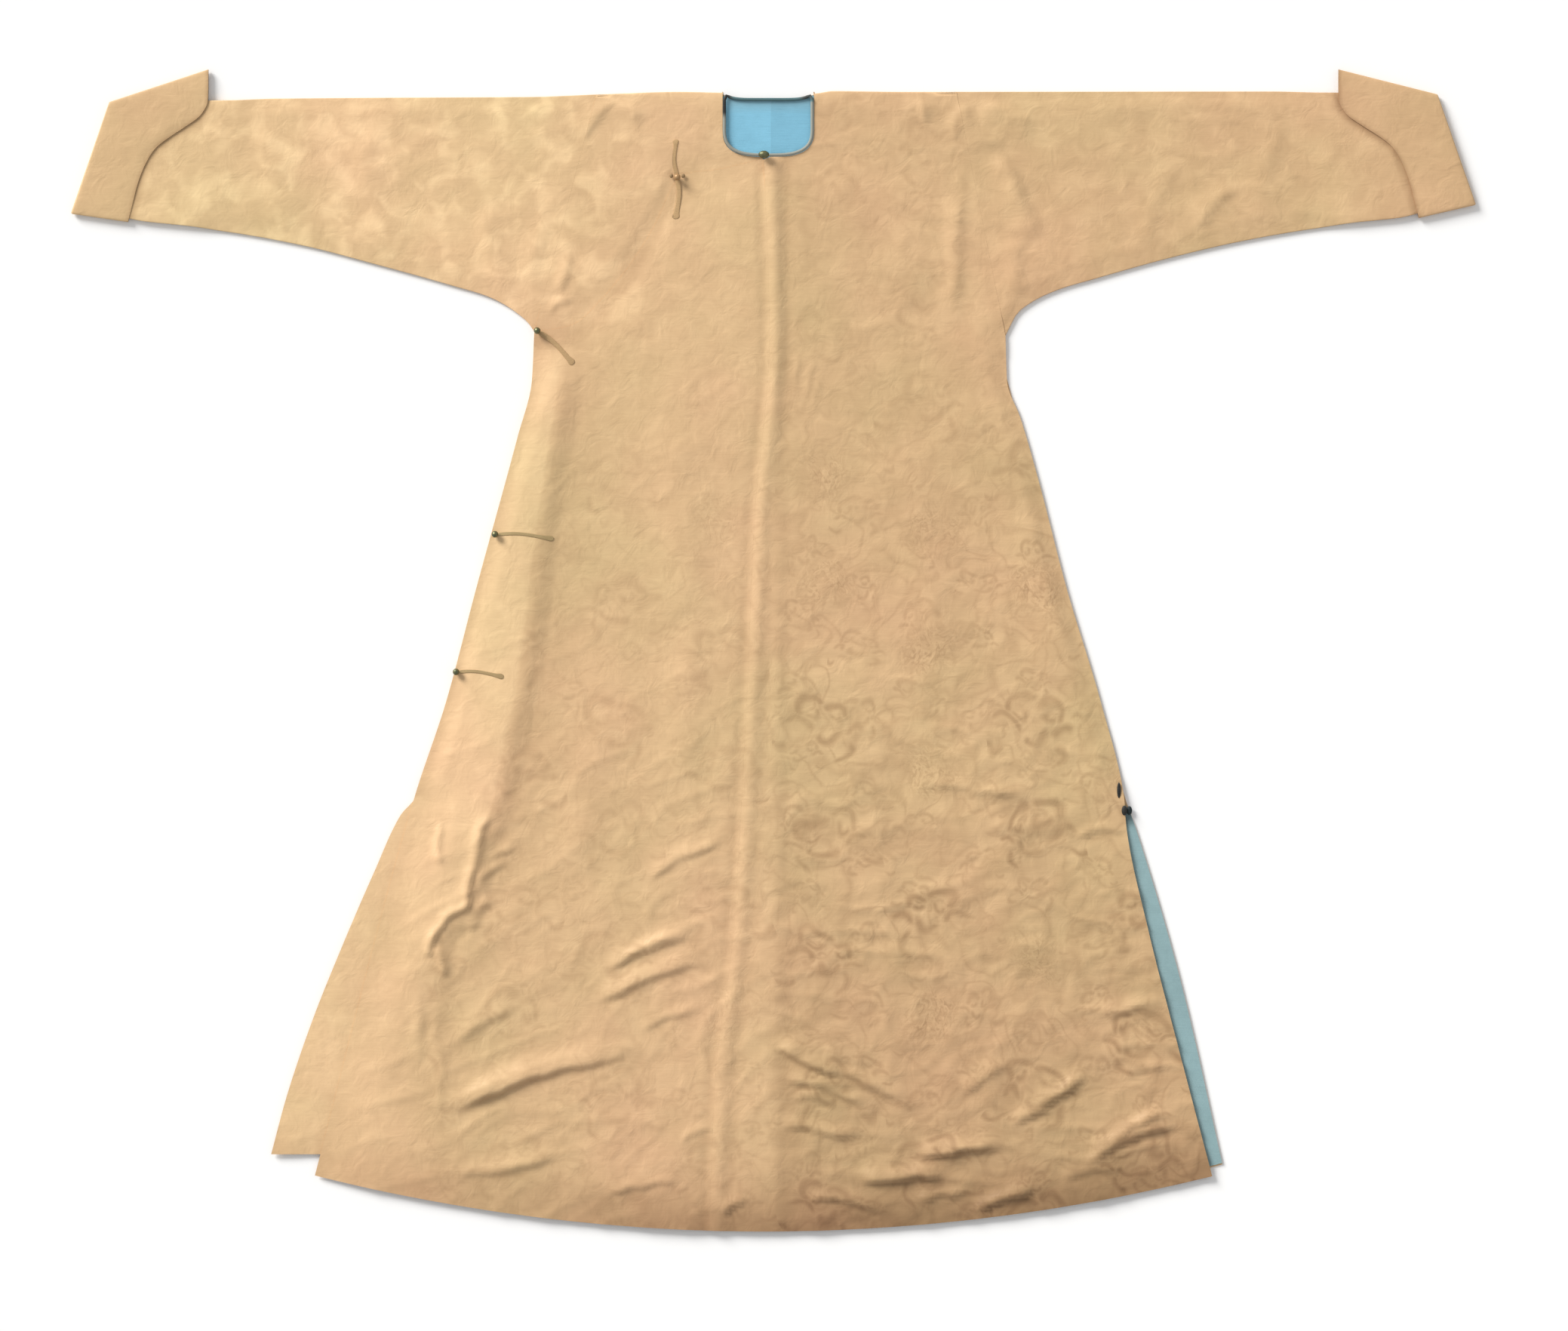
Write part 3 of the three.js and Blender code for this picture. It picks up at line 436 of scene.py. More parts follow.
def bodyLength(side):
    s, front = sideSign[side], fronts[side]
    columns = front["columns"]
    seamX = cloth["centreBack"] + s * cloth["gap"] / 2
    neckSide = neck["x"] + s * neck["halfWidth"]

    def innerX(y):
        # the underlap runs out to the front seam only beside the neck
        reach = 1 if side == "left" else ease((np.asarray(y) - 575) / 30)
        return outline["centreFront"](y) * reach

    # above the armpit, share w runs from the armpit (0) to the shoulder (1)
    def seamAt(w):
        y = mix(armpitY[side], seamTop(side), w)
        return np.stack([s * outline[side + "Seam"](y), y], -1)

    def atTurns(w, values):
        return np.interp(w, backs["neckTurns"], values)

    w = np.linspace(0, 1, backs["upperRows"])
    top = neck["back"] + neck["underPiping"]
    backMiddle = np.stack([atTurns(w, [seamX, seamX, neckSide, neckSide]),
                           atTurns(w, [lengths["middleTop"], top, top, neck["corner"]])], -1)
    highBack = spreadRows(backMiddle, seamAt(w), columns)
    highBack[..., 1] += neckRise(highBack[..., 0], highBack[..., 1])
    plan = {**backs, "edge": f"back{side.title()}Side", "columns": columns}
    lowBack = lowerPanel(side, plan, lambda y: seamX)
    back = np.concatenate((lowBack[:0:-1], highBack))

    w = np.linspace(0, 1, lengths["upperRows"])
    seam = seamAt(w)
    innerY = np.interp(w, [0, 0.5], [lengths["middleTop"], neck["y"] - neck["below"]])
    onEdge = np.stack([innerX(innerY), innerY], -1)
    onNeck = neckEdge(side, np.interp(w, [0.5, 1], [1, 0.02]))
    high = spreadRows(np.where((w < 0.5)[:, None], onEdge, onNeck), seam, columns)
    xy = np.concatenate((high[:0:-1], lowerPanel(side, front, innerX)))

    grids = [np.dstack([back, np.zeros(back.shape[:2])])]
    foldX = mix(neckSide, seam[-1, 0], np.linspace(0, 1, columns))
    foldY, radius = outline["shoulderLine"](foldX), cloth["foldRadius"]
    for angle in np.radians(np.linspace(-78, 78, lengths["foldRows"])):
        lift = radius + radius * math.sin(angle) + 0 * foldX
        grids.append(np.stack([foldX, foldY - radius + radius * math.cos(angle), lift], -1)[None])
    layerZ = {"right": underLayerZ, "left": outerLayerZ}[side]
    grids.append(np.dstack([xy, layerZ(xy[..., 0], xy[..., 1]) + cloth["shell"]]))
    piece = mappedGrid(side + "Length", np.concatenate(grids))
    thicken(piece, cloth["shell"])
    return piece


# the overlap, which closes over the underlap
overlapPlan = {"edge": "overlapEdge", "hem": frontHem, "corner": -661, "rows": 300, "upperRows": 60,
               "columns": 120, "turns": [0, 0.45, 0.7, 1], "edgeX": [-301, -176, -108, -15],
               "seamY": [425, 514, 594, 618]}


def overlap():
    def innerX(y):
        return outline["centreFront"](y) - cloth["join"]

    low = lowerPanel("right", overlapPlan, innerX)
    # the upper edge climbs from the armpit to the neck, and each point on it faces one on the seam
    w = np.linspace(0, 1, overlapPlan["upperRows"])[1:]
    edgeX, seamY = [np.interp(w, overlapPlan["turns"], overlapPlan[name]) for name in ("edgeX", "seamY")]
    edge = np.stack([edgeX, outline["overlapTop"](edgeX)], -1)
    high = spreadRows(np.stack([innerX(seamY), seamY], -1), edge, overlapPlan["columns"])
    xy = np.concatenate((high[::-1], low))
    # towards its free edges it thins and sinks onto the underlap
    x, y = xy[..., 0], xy[..., 1]
    beside = mix(1, ease((x + outline["overlapEdge"](y)) / (1.5 * cloth["feather"])), ease((-150 - y) / 40))
    full = beside * ease((outline["overlapTop"](x) - y) / cloth["feather"])
    lowest = underLayerZ(x, y) + cloth["gap"] + cloth["thinEdge"] * cloth["shell"]
    z = mix(lowest, outerLayerZ(x, y), full) + cloth["shell"]
    piece = mappedGrid("overlapFront", np.dstack([xy, z]))
    thicken(piece, cloth["shell"], mix(cloth["thinEdge"], 1, full).ravel())
    return piece


# the blue lining on the inside of the back
def liningHem(x):
    return backHem(x) + 2


lining = {"hem": liningHem, "corner": -646, "rows": 90, "upperRows": 16, "columns": 50, "seamInset": 19,
          "sideTop": 691}


def backLining(side):
    s = sideSign[side]
    seamX = cloth["centreBack"] + s * cloth["join"] / 2
    edgeName = f"back{side.title()}Side"
    edge = outline[edgeName]

    def inset(y):
        return lining["seamInset"] * ease((y - ventTop + 12) / 18)

    low = lowerPanel(side, {**lining, "edge": edgeName}, lambda y: seamX, inset)
    w = np.linspace(0, 1, lining["upperRows"])[1:]
    middleY = mix(lengths["middleTop"], neck["back"] + neck["underPiping"], w)
    sideY = mix(armpitY[side], lining["sideTop"], w)
    sideX = s * (np.where(sideY > armpitY[side], outline[side + "Seam"](sideY), edge(sideY)) - inset(sideY))
    middle, out = np.stack([seamX + 0 * w, middleY], -1), np.stack([sideX, sideY], -1)
    high = spreadRows(middle, out, lining["columns"])
    high[..., 1] += neckRise(high[..., 0], high[..., 1])
    xy = np.concatenate((high[::-1], low))
    z = cloth["liningZ"] + cloth["lining"] + 0 * xy[..., 0]
    piece = mappedGrid("lining" + side.title(), np.dstack([xy, z]))
    thicken(piece, cloth["lining"])
    return piece


# the turned-back cuffs, and the sleeves that they sit on
cuff = {"returnDepth": 22, "foldRadius": 2.1, "halfHeight": 4.35, "clearance": 1.6, "flatness": 0.3,
        "around": 160, "along": 26, "foldSteps": 9,
        "ends": {"right": ((836, 690.5), (883.5, 549), 4), "left": ((836, 700), (883.5, 560), -1)}}
sleeve = {"around": 150, "along": 96, "swellFrom": 0.66, "swellTo": 0.76, "flatness": 0.15}


def turns(count, flatness):
    # places round a flattened tube: v runs from the top fold (0) to the underarm (1) and back
    angle = 2 * math.pi * (np.arange(count) + 0.5) / count
    lift = np.sign(np.sin(angle)) * np.abs(np.sin(angle)) ** flatness
    return (1 - np.cos(angle)) / 2, np.cos(angle), lift


def cuffMouth(side, v, inward):
    top, bottom, _ = cuff["ends"][side]
    return mix(top[0], bottom[0], v) - inward, mix(top[1], bottom[1], v)


def sleeveTube(side):
    s = sideSign[side]
    v, _, lift = turns(sleeve["around"], sleeve["flatness"])
    v, lift = v[:, None], lift[:, None]
    u = np.linspace(0, 1, sleeve["along"])[None, :]
    under, seamLine = outline[side + "Underarm"], outline[side + "Seam"]

    def seamPoint(share):
        y = mix(seamTop(side), armpitY[side], share)
        return seamLine(y) + cloth["join"], y

    def endPoint(share):
        x, y = cuffMouth(side, share, cuff["foldRadius"] + 0.1)
        return x, y - cuff["clearance"] * (1 - 2 * share)

    seam0, seam1, end0, end1 = seamPoint(0.0), seamPoint(1.0), endPoint(0.0), endPoint(1.0)
    swellShare = ease((u - sleeve["swellFrom"]) / (sleeve["swellTo"] - sleeve["swellFrom"]))
    shrink, last = cuff["clearance"] * swellShare, ease(6 * u - 5)
    topX, bottomX = mix(seam0[0], end0[0], u), mix(seam1[0], end1[0], u)
    top = (topX, mix(outline["shoulderLine"](s * topX) - shrink, end0[1], last))
    bottom = (bottomX, mix(under(bottomX) + shrink, end1[1], last))
    inner, outer = seamPoint(v), endPoint(v)
    x, y = [mix(top[n], bottom[n], v) + mix(inner[n], outer[n], u)
            - mix(mix(seam0[n], end0[n], u), mix(seam1[n], end1[n], u), v) for n in (0, 1)]
    x = s * x
    middle = mix(cloth["foldRadius"], cuff["halfHeight"], swellShare)
    half = mix(cloth["foldRadius"], cuff["halfHeight"] - layerRise, swellShare)
    loose = (lift > 0) * (1 - swellShare) * ease((y - under(s * x)) / 30)
    frontLayerZ = {"left": outerLayerZ, "right": underLayerZ}[side]
    z = middle + half * lift + loose * (frontLayerZ(x, y) - firstLayerZ(x, y))
    piece = mappedGrid(side + "Sleeve", np.stack([x, y, z], -1), around=True)
    thicken(piece, cloth["shell"])
    return piece


def horseshoeCuff(side):
    s = sideSign[side]
    bend, halfHeight = cuff["foldRadius"], cuff["halfHeight"]
    drop = cuff["ends"][side][2]
    v, inward, lift = turns(cuff["around"], cuff["flatness"])
    profile = [(share, None, halfHeight, 0) for share in np.linspace(0, 1, cuff["along"])[:-1]]
    for angle in np.radians(np.linspace(90, -90, cuff["foldSteps"])):
        rise = bend * math.sin(angle)
        profile.append((None, bend - bend * math.cos(angle), halfHeight - bend + rise, bend - rise))
    profile += [(None, depth, halfHeight - 2 * bend, 2 * bend)
                for depth in (cuff["returnDepth"] / 2, cuff["returnDepth"])]
    columns = []
    for share, back, half, inset in profile:
        x, y = cuffMouth(side, v, bend if back is None else back)
        relief = 0 * v
        if share is not None:
            x = mix(outline["cuffEdgeX"](v), x, share)
            y = mix(outline["cuffEdgeY"](v) - drop * v, y, share)
            relief = 0.7 * np.clip(lift, 0, 1) * swellRelief(2.4 * x, 2.4 * y) * ease(4 * share)
        columns.append(np.stack([s * x, y - inset * inward, halfHeight + half * lift + relief], -1))
    piece = mappedGrid(side + "Cuff", np.stack(columns, 1), around=True)
    thicken(piece, cloth["shell"])
    return piece


# the piping round the neck
binding = {"width": 4, "height": 3, "backZ": 2.7, "frontZ": 4.6, "steps": 70, "section": 12,
           "cornerRise": 6.5}


def neckBinding():
    t = np.linspace(0.02, 1, binding["steps"])
    middle = cloth["gap"] + binding["width"] / 2
    across = np.linspace(-1, 1, 40)[1:-1]
    half = neck["halfWidth"] - middle
    backY = neck["back"] + cloth["gap"] + binding["width"] / 2
    back = np.stack([neck["x"] + across * half, backY + binding["cornerRise"] * across ** 6], -1)
    line = np.concatenate((neckEdge("left", t, middle), neckEdge("right", t[::-1], middle)[1:], back))
    low = np.concatenate((0 * t, 0 * t[1:], ease(7 * (1 - np.abs(across)))))
    zBase = mix(binding["frontZ"], binding["backZ"], low)
    ahead = np.roll(line, -1, 0) - np.roll(line, 1, 0)
    ahead /= np.linalg.norm(ahead, axis=1)[:, None]
    sideways = np.stack([-ahead[:, 1], ahead[:, 0]], -1)
    columns = []
    for angle in np.linspace(0, 2 * math.pi, binding["section"] + 1):
        xy = line + sideways * binding["width"] / 2 * math.cos(angle)
        z = zBase + binding["height"] / 2 * (1 + math.sin(angle))
        columns.append(np.concatenate((xy, z[:, None]), 1))
    return closedTube(mappedGrid("neckBinding", np.stack(columns, 1), around=True))


# Fastenings: where the ball sits, and the straps that run from it, by their far ends, with their
# half width at the ball and at the far end.
fastenings = {
    "chest": {"ball": (-121, 595), "straps": {"loop_chest": ((-121, 543), 2.8, 3.4),
                                              "strap_chest": ((-125, 643), 2.6, 2.4)}},
    "side": {"ball": (-297, 402), "straps": {"loop_side": ((-250, 362), 3.2, 3.0)}},
    "waist": {"ball": (-350, 146), "straps": {"loop_waist": ((-276, 142.5), 2.0, 2.3)}},
    "hip": {"ball": (-399, -27), "straps": {"loop_hip": ((-339, -31), 2.0, 2.3)}},
}
strap = {"steps": 40, "section": 18, "halfHeight": 0.35, "flatness": 0.4, "spread": 1.1, "waist": 0.2,
         "bow": 2.2, "bowTurn": 4.4, "knob": 0.9, "knobAt": 0.94, "knobLength": 0.06, "bluntness": 24,
         "lift": 0.1}
ball = {"radius": 4.3, "shank": 1.3, "shankHeight": 2, "sunk": 0.8, "lobes": 8, "lobeDepth": 0.03}


def strapBand(name, start, end, startHalf, endHalf, surface):
    # a rolled band of cloth, narrower in its middle and ending in a small knob
    start, end = np.array(start, float), np.array(end, float)
    length = np.linalg.norm(end - start)
    ahead = (end - start) / length
    sideways = np.array([-ahead[1], ahead[0]])
    start = start + ahead * (ball["shank"] + cloth["gap"] + 1)
    share = (1 - np.cos(np.linspace(0, math.pi, strap["steps"]))) / 2
    bow = strap["bow"] * np.sin(share * strap["bowTurn"])
    line = start + share[:, None] * (end - start) + bow[:, None] * sideways
    half = mix(startHalf, endHalf, share) * (1 - strap["waist"] * np.sin(math.pi * share) ** 2)
    half += strap["knob"] * lineShade(share - strap["knobAt"], strap["knobLength"])
    rounded = np.sqrt(np.clip(1 - (2 * share - 1) ** strap["bluntness"], 0.0025, 1))
    half *= strap["spread"]
    z = surface(line[:, 0], line[:, 1]) + cloth["shell"] + strap["lift"] + strap["halfHeight"]
    columns = []
    for angle in np.linspace(0, 2 * math.pi, strap["section"] + 1)[:-1]:
        lift = math.copysign(abs(math.sin(angle)) ** strap["flatness"], math.sin(angle))
        xy = line + sideways * (half * rounded * math.cos(angle))[:, None]
        columns.append(np.column_stack((xy, z + strap["halfHeight"] * rounded * lift)))
    return closedTube(mappedGrid(name, np.stack(columns), around=True))


def closedTube(piece):
    bm = bmesh.new()
    bm.from_mesh(piece.data)
    bmesh.ops.remove_doubles(bm, verts=bm.verts, dist=weldReach)
    bmesh.ops.holes_fill(bm, edges=[edge for edge in bm.edges if edge.is_boundary])
    bmesh.ops.recalc_face_normals(bm, faces=bm.faces)
    bm.to_mesh(piece.data)
    bm.free()
    return piece


def addBeads(piece, beads):
    # small thread knots: place, radii
    bm = bmesh.new()
    bm.from_mesh(piece.data)
    for place, radii in beads:
        made = bmesh.ops.create_uvsphere(bm, u_segments=16, v_segments=10, radius=mm)
        bmesh.ops.scale(bm, verts=made["verts"], vec=radii)
        bmesh.ops.translate(bm, verts=made["verts"], vec=Vector(place) * mm)
    for face in bm.faces:
        face.smooth = True
    bm.to_mesh(piece.data)
    bm.free()
    return piece


def ballButton(name, x, y, seat, stretch=(1, 1, 1)):
    # a cast ball with shallow lobes, on a short shank
    bm = bmesh.new()
    radius, tall = ball["radius"], ball["shankHeight"]
    made = bmesh.ops.create_uvsphere(bm, u_segments=28, v_segments=18, radius=radius * mm)
    for vertex in made["verts"]:
        turn = math.atan2(vertex.co.y, vertex.co.x)
        lobe = ball["lobeDepth"] * (0.5 + 0.5 * math.cos(ball["lobes"] * turn))
        vertex.co *= 1 - lobe * (1 - abs(vertex.co.z) / (radius * mm))
    bmesh.ops.scale(bm, verts=made["verts"], vec=stretch)
    bmesh.ops.translate(bm, verts=made["verts"], vec=Vector((x, y, seat + tall + radius)) * mm)
    tall += ball["sunk"]
    made = bmesh.ops.create_cone(bm, cap_ends=True, segments=16, radius1=ball["shank"] * 1.3 * mm,
                                 radius2=ball["shank"] * mm, depth=tall * mm)
    bmesh.ops.translate(bm, verts=made["verts"], vec=Vector((x, y, seat + tall / 2)) * mm)
    return finishMesh(name, bm)


def seatOn(x, y):
    # the height just above the outer cloth at a place
    return float(outerLayerZ(np.array([x]), np.array([y]))[0]) + cloth["shell"] + cloth["gap"]


# thread beads at the top of the vent: two knots, one on the front and one on the lining, and a stitch;
# painted near black, they also stand for the shadow in the gap there
tackBeads = [((441.3, -201.5), (3.4, 6.3, 1.7), "front"), ((447.8, -201.5), (3.6, 5.6, 1.7), "lining"),
             ((434.6, -176), (2.4, 10, 0.8), "front")]


def ventTack():
    beads = []
    for (x, y), radii, over in tackBeads:
        seat = seatOn(x, y) if over == "front" else cloth["frontZ"]
        beads.append(((x, y, seat + radii[2]), radii))
    return addBeads(finishMesh("ventTack", bmesh.new()), beads)


# small helpers for shader nodes
def isSocket(value):
    return isinstance(value, bpy.types.NodeSocket)


def addNode(kind, inputs, tree=None, **settings):
    # the node goes into the tree that its inputs come from, and constants go onto its own sockets
    tree = tree or next(value.id_data for value in inputs.values() if isSocket(value))
    made = tree.nodes.new("ShaderNode" + kind)
    for key, value in settings.items():
        setattr(made, key, value)
    for key, value in inputs.items():
        if isSocket(value):
            tree.links.new(value, made.inputs[key])
        else:
            made.inputs[key].default_value = value
    return made


def calc(operation, *values, clamp=False):
    return addNode("Math", dict(enumerate(values)), operation=operation, use_clamp=clamp).outputs[0]


def plus(*values):
    return reduce(lambda a, b: calc("ADD", a, b), values)


def minus(*values):
    return reduce(lambda a, b: calc("SUBTRACT", a, b), values)


def times(*values):
    return reduce(lambda a, b: calc("MULTIPLY", a, b), values)


def scaled(value, factor, start, clamp=False):
    return calc("MULTIPLY_ADD", value, factor, start, clamp=clamp)


def centred(value, reach):
    # a value from 0 to 1, turned into as much above nothing as below it
    return scaled(value, reach, -reach / 2)


def vectorCalc(operation, inputs):
    outputs = addNode("VectorMath", inputs, operation=operation).outputs
    return outputs["Value" if operation in ("LENGTH", "DOT_PRODUCT") else "Vector"]


def noise(where, scale, detail, **others):
    inputs = {"Vector": where, "Scale": scale, "Detail": detail, **others}
    return addNode("TexNoise", inputs).outputs["Fac"]


def blendColour(share, a, b, kind="MIX"):
    return addNode("Mix", {0: share, 6: a, 7: b}, data_type="RGBA", blend_type=kind).outputs[2]


def useGroup(group, where, **inputs):
    return addNode("Group", {"Vector": where, **inputs}, node_tree=group).outputs


def newGroup(build, **inputs):
    # every group takes a place, and numbers or, where None stands, more places
    group = bpy.data.node_groups.new(build.__name__, "ShaderNodeTree")
    for label, value in {"Vector": None, **inputs}.items():
        kind = "NodeSocketVector" if value is None else "NodeSocketFloat"
        socket = group.interface.new_socket(label, in_out="INPUT", socket_type=kind)
        if value is not None:
            socket.default_value = value
    results = build(group.nodes.new("NodeGroupInput").outputs)
    for label, socket in results.items():
        kind = "NodeSocketVector" if socket.type == "VECTOR" else "NodeSocketFloat"
        group.interface.new_socket(label, in_out="OUTPUT", socket_type=kind)
    out = group.nodes.new("NodeGroupOutput")
    for label, socket in results.items():
        group.links.new(socket, out.inputs[label])
    return group


softEdge = 150.0  # how quickly a motif's edge rises, in shares to the metre


def scrollArc(given):
    # one drawn arc: a ring of a given stroke, kept where it lies past a straight cut
    off = vectorCalc("SUBTRACT", {0: given["Vector"], 1: given["Centre"]})
    miss = calc("ABSOLUTE", minus(vectorCalc("LENGTH", {0: off}), given["Radius"]))
    line = scaled(minus(times(given["Stroke"], 0.5), miss), softEdge, 0.5, clamp=True)
    side = vectorCalc("DOT_PRODUCT", {0: off, 1: given["Facing"]})
    return {"Mask": times(line, scaled(minus(side, given["Cut"]), softEdge, 0.5, clamp=True))}


def halfDrop(given):
    # a half-drop repeat: the place within the cell, mirrored at random, and a number that picks the motif
    place = addNode("SeparateXYZ", {0: given["Vector"]}).outputs
    across = calc("DIVIDE", place[0], given["Width"])
    column = calc("FLOOR", across)
    odd = calc("PINGPONG", column, 1.0)
    up = scaled(odd, 0.5, calc("DIVIDE", place[1], given["Height"]))
    row = calc("FLOOR", up)
    cell = addNode("CombineXYZ", {0: column, 1: row}).outputs[0]
    dice = addNode("TexWhiteNoise", {"Vector": cell}, noise_dimensions="2D").outputs["Color"]
    throws = addNode("SeparateColor", {0: dice}).outputs
    flip, nudge = calc("SIGN", minus(throws[0], 0.5)), centred(throws[1], 0.2)
    localX = times(minus(across, column, 0.5), given["Width"], flip)
    localY = times(minus(up, row, 0.5, nudge), given["Height"])
    return {"Local": addNode("CombineXYZ", {0: localX, 1: localY}).outputs[0], "Pick": throws[2]}


# A cloud scroll, arc by arc in millimetres: centre, radius, the way it faces, where the cut lies, stroke.
cloudArcs = [
    ((-16, 12), 17, (-0.5, 0.9), 0, 11), ((17, 8), 12, (0.5, 0.9), -1, 10), ((-17, 9), 8, (0.4, -1), -1, 8),
    ((16, 6), 5, (-0.3, -1), -1, 7), ((2, -13), 13, (0.2, -1), 1, 10), ((-38, -12), 12, (0.3, 1), 2, 10),
    ((36, -17), 10, (-0.2, 1), 2, 9), ((-54, -25), 11, (-0.2, -1), 3, 9), ((20, -37), 11, (1, -0.4), 2, 9),
]
# A round spray of small leaves: its radius, how fine the leaves are and how far they are drawn out.
sprayLook = {"radius": 34, "finer": 150.0, "drawn": 0.7, "turned": 0.2, "contrast": 4.0}


def cloudScroll(given):
    masks = [useGroup(arcShape, given["Vector"], Centre=(x * mm, y * mm, 0), Radius=radius * mm,
                      Facing=(*facing, 0), Cut=cut * mm, Stroke=stroke * mm)[0]
             for (x, y), radius, facing, cut, stroke in cloudArcs]
    return {"Mask": reduce(lambda a, b: calc("MAXIMUM", a, b), masks)}


def leafySpray(given):
    drawn = addNode("Mapping", {"Vector": given["Vector"], "Rotation": (0, 0, sprayLook["turned"]),
                                "Scale": (1, sprayLook["drawn"], 1)}).outputs[0]
    leaves = noise(drawn, sprayLook["finer"], 2.5, Distortion=1.2)
    within = minus(sprayLook["radius"] * mm, vectorCalc("LENGTH", {0: given["Vector"]}))
    mask = scaled(minus(leaves, 0.5), sprayLook["contrast"], 0.4, clamp=True)
    return {"Mask": times(mask, scaled(within, softEdge / 5, 0.5, clamp=True))}


def silkWeave(given):
    # threads of the ground weave: a height, and a fine shade of light and dark
    place = addNode("SeparateXYZ", {0: given["Vector"]}).outputs
    pitch = calc("DIVIDE", math.tau, given["Thread"])
    warp, weft = calc("SINE", times(place[0], pitch)), calc("SINE", times(place[1], times(pitch, 0.6)))
    drawn = addNode("Mapping", {"Vector": given["Vector"], "Scale": (40, 900, 40)}).outputs[0]
    slub = noise(drawn, 1.0, 2.0)
    return {"Height": scaled(times(warp, weft), 0.5, slub), "Shade": slub}


def silkAge(given):
    # soft stains and wear: a broad one and a finer one, each from 0 to 1
    results = {}
    for label, detail in (("Broad", 3.0), ("Fine", 4.0)):
        stain = noise(given["Vector"], given[label], detail, Roughness=0.55)
        results[label] = addNode("MapRange", {0: stain, 1: 0.3, 2: 0.7}).outputs[0]
    return results


weave, age = newGroup(silkWeave, Thread=0.0009), newGroup(silkAge, Broad=3.0, Fine=24.0)
arcShape = newGroup(scrollArc, Centre=None, Radius=0.017, Facing=None, Cut=0.0, Stroke=0.007)
repeat = newGroup(halfDrop, Width=0.17, Height=0.2)
cloud, spray = newGroup(cloudScroll), newGroup(leafySpray)


def newMaterial(name, roughness, attributes=(), **constants):
    # gives the material, its shader, the place on the object and the attributes asked for
    material = bpy.data.materials.new(name)
    material.use_nodes = True
    tree = material.node_tree
    shader = tree.nodes["Principled BSDF"]
    for label, value in {"Roughness": roughness, **constants}.items():
        shader.inputs[label.replace("_", " ")].default_value = value
    here = addNode("TexCoord", {}, tree).outputs["Object"]
    given = [addNode("Attribute", {}, tree, attribute_name=label).outputs["Fac"] for label in attributes]
    return material, shader, here, *given


def joinShader(shader, height, strength, depth, **links):
    bump = addNode("Bump", {"Height": height, "Strength": strength, "Distance": depth})
    links["Normal"] = bump.outputs[0]
    for label, socket in links.items():
        shader.id_data.links.new(socket, shader.inputs[label.replace("_", " ")])


damaskLook = {"warm": (0.735, 0.472, 0.268, 1), "straw": (0.66, 0.478, 0.248, 1), "motifDark": 0.38,
              "motifLight": 0.12, "sway": 0.022, "sprays": 0.76, "shrink": 1.8, "smallShare": 0.6,
              "tendrilShare": 0.5, "flecks": 0.24, "grain": 0.12, "wear": 0.09}
motifCell = {"Width": 0.132, "Height": 0.158}


def damaskSilk():
    material, shader, here, tone, motif, flecks = newMaterial(
        "damaskSilk", 0.55, ("tone", "motif", "flecks"), Specular_IOR_Level=0.28, Sheen_Weight=0.1,
        Sheen_Roughness=0.35)
    stains = useGroup(age, here, Broad=3.4, Fine=19.0)
    colour = blendColour(stains["Broad"], damaskLook["warm"], damaskLook["straw"])
    # the woven motifs sway a little with the cloth, so that no two are quite alike
    drift = addNode("TexNoise", {"Vector": here, "Scale": 17.0, "Detail": 1.0}).outputs["Color"]
    sway = vectorCalc("ADD", {0: drift, 1: (-0.5, -0.5, 0)})
    sway = vectorCalc("SCALE", {0: sway, "Scale": 2 * damaskLook["sway"]})
    swayed = vectorCalc("ADD", {0: here, 1: sway})
    cell = useGroup(repeat, swayed, **motifCell)
    pick = calc("GREATER_THAN", cell["Pick"], damaskLook["sprays"])
    figure = blendColour(pick, useGroup(cloud, cell["Local"])[0], useGroup(spray, cell["Local"])[0])
    # smaller, fainter scrolls fill the ground between
    shrunk = vectorCalc("SCALE", {0: swayed, "Scale": damaskLook["shrink"]})
    small = useGroup(cloud, useGroup(repeat, shrunk, **motifCell)["Local"])[0]
    figure = calc("MAXIMUM", figure, times(small, damaskLook["smallShare"]))
    # and faint tendrils wind all over, along the middle values of a noise
    wander = noise(here, 21.0, 0.8, Distortion=1.0)
    tendril = scaled(calc("ABSOLUTE", minus(wander, 0.5)), -11.0, 1.0, clamp=True)
    figure = calc("MAXIMUM", figure, times(tendril, damaskLook["tendrilShare"]))
    figure = times(figure, scaled(stains["Fine"], 0.75, 0.35))
    # darker than the ground where the attribute is above 0, lighter below it
    darker = times(calc("MAXIMUM", motif, 0.0), damaskLook["motifDark"])
    lighter = times(calc("MINIMUM", motif, 0.0), damaskLook["motifLight"])
    sunk = times(figure, plus(darker, lighter))
    # painted highlight: small leafy flecks of the weave that catch the light
    fleck = addNode("MapRange", {0: noise(here, 30.0, 1.5, Distortion=0.5), 1: 0.46, 2: 0.68}).outputs[0]
    lit = times(fleck, times(flecks, damaskLook["flecks"]))
    threads = useGroup(weave, here, Thread=0.0011)
    grain = centred(threads["Shade"], damaskLook["grain"])
    wear = centred(stains["Fine"], damaskLook["wear"])
    light = times(plus(minus(1.0, sunk), lit, grain, wear), tone)
    # what is darker is browner too
    grey = addNode("CombineColor", {0: calc("POWER", light, 0.85), 1: light, 2: calc("POWER", light, 1.1)})
    colour = blendColour(1.0, colour, grey.outputs[0], "MULTIPLY")
    crumple = noise(here, 46.0, 3.0, Roughness=0.5, Distortion=0.7)
    height = minus(scaled(crumple, 1.6, times(threads["Height"], 0.06)), times(figure, 0.15))
    joinShader(shader, height, 0.6, 0.0012, Base_Color=colour, Roughness=scaled(figure, 0.12, 0.5))
    return material


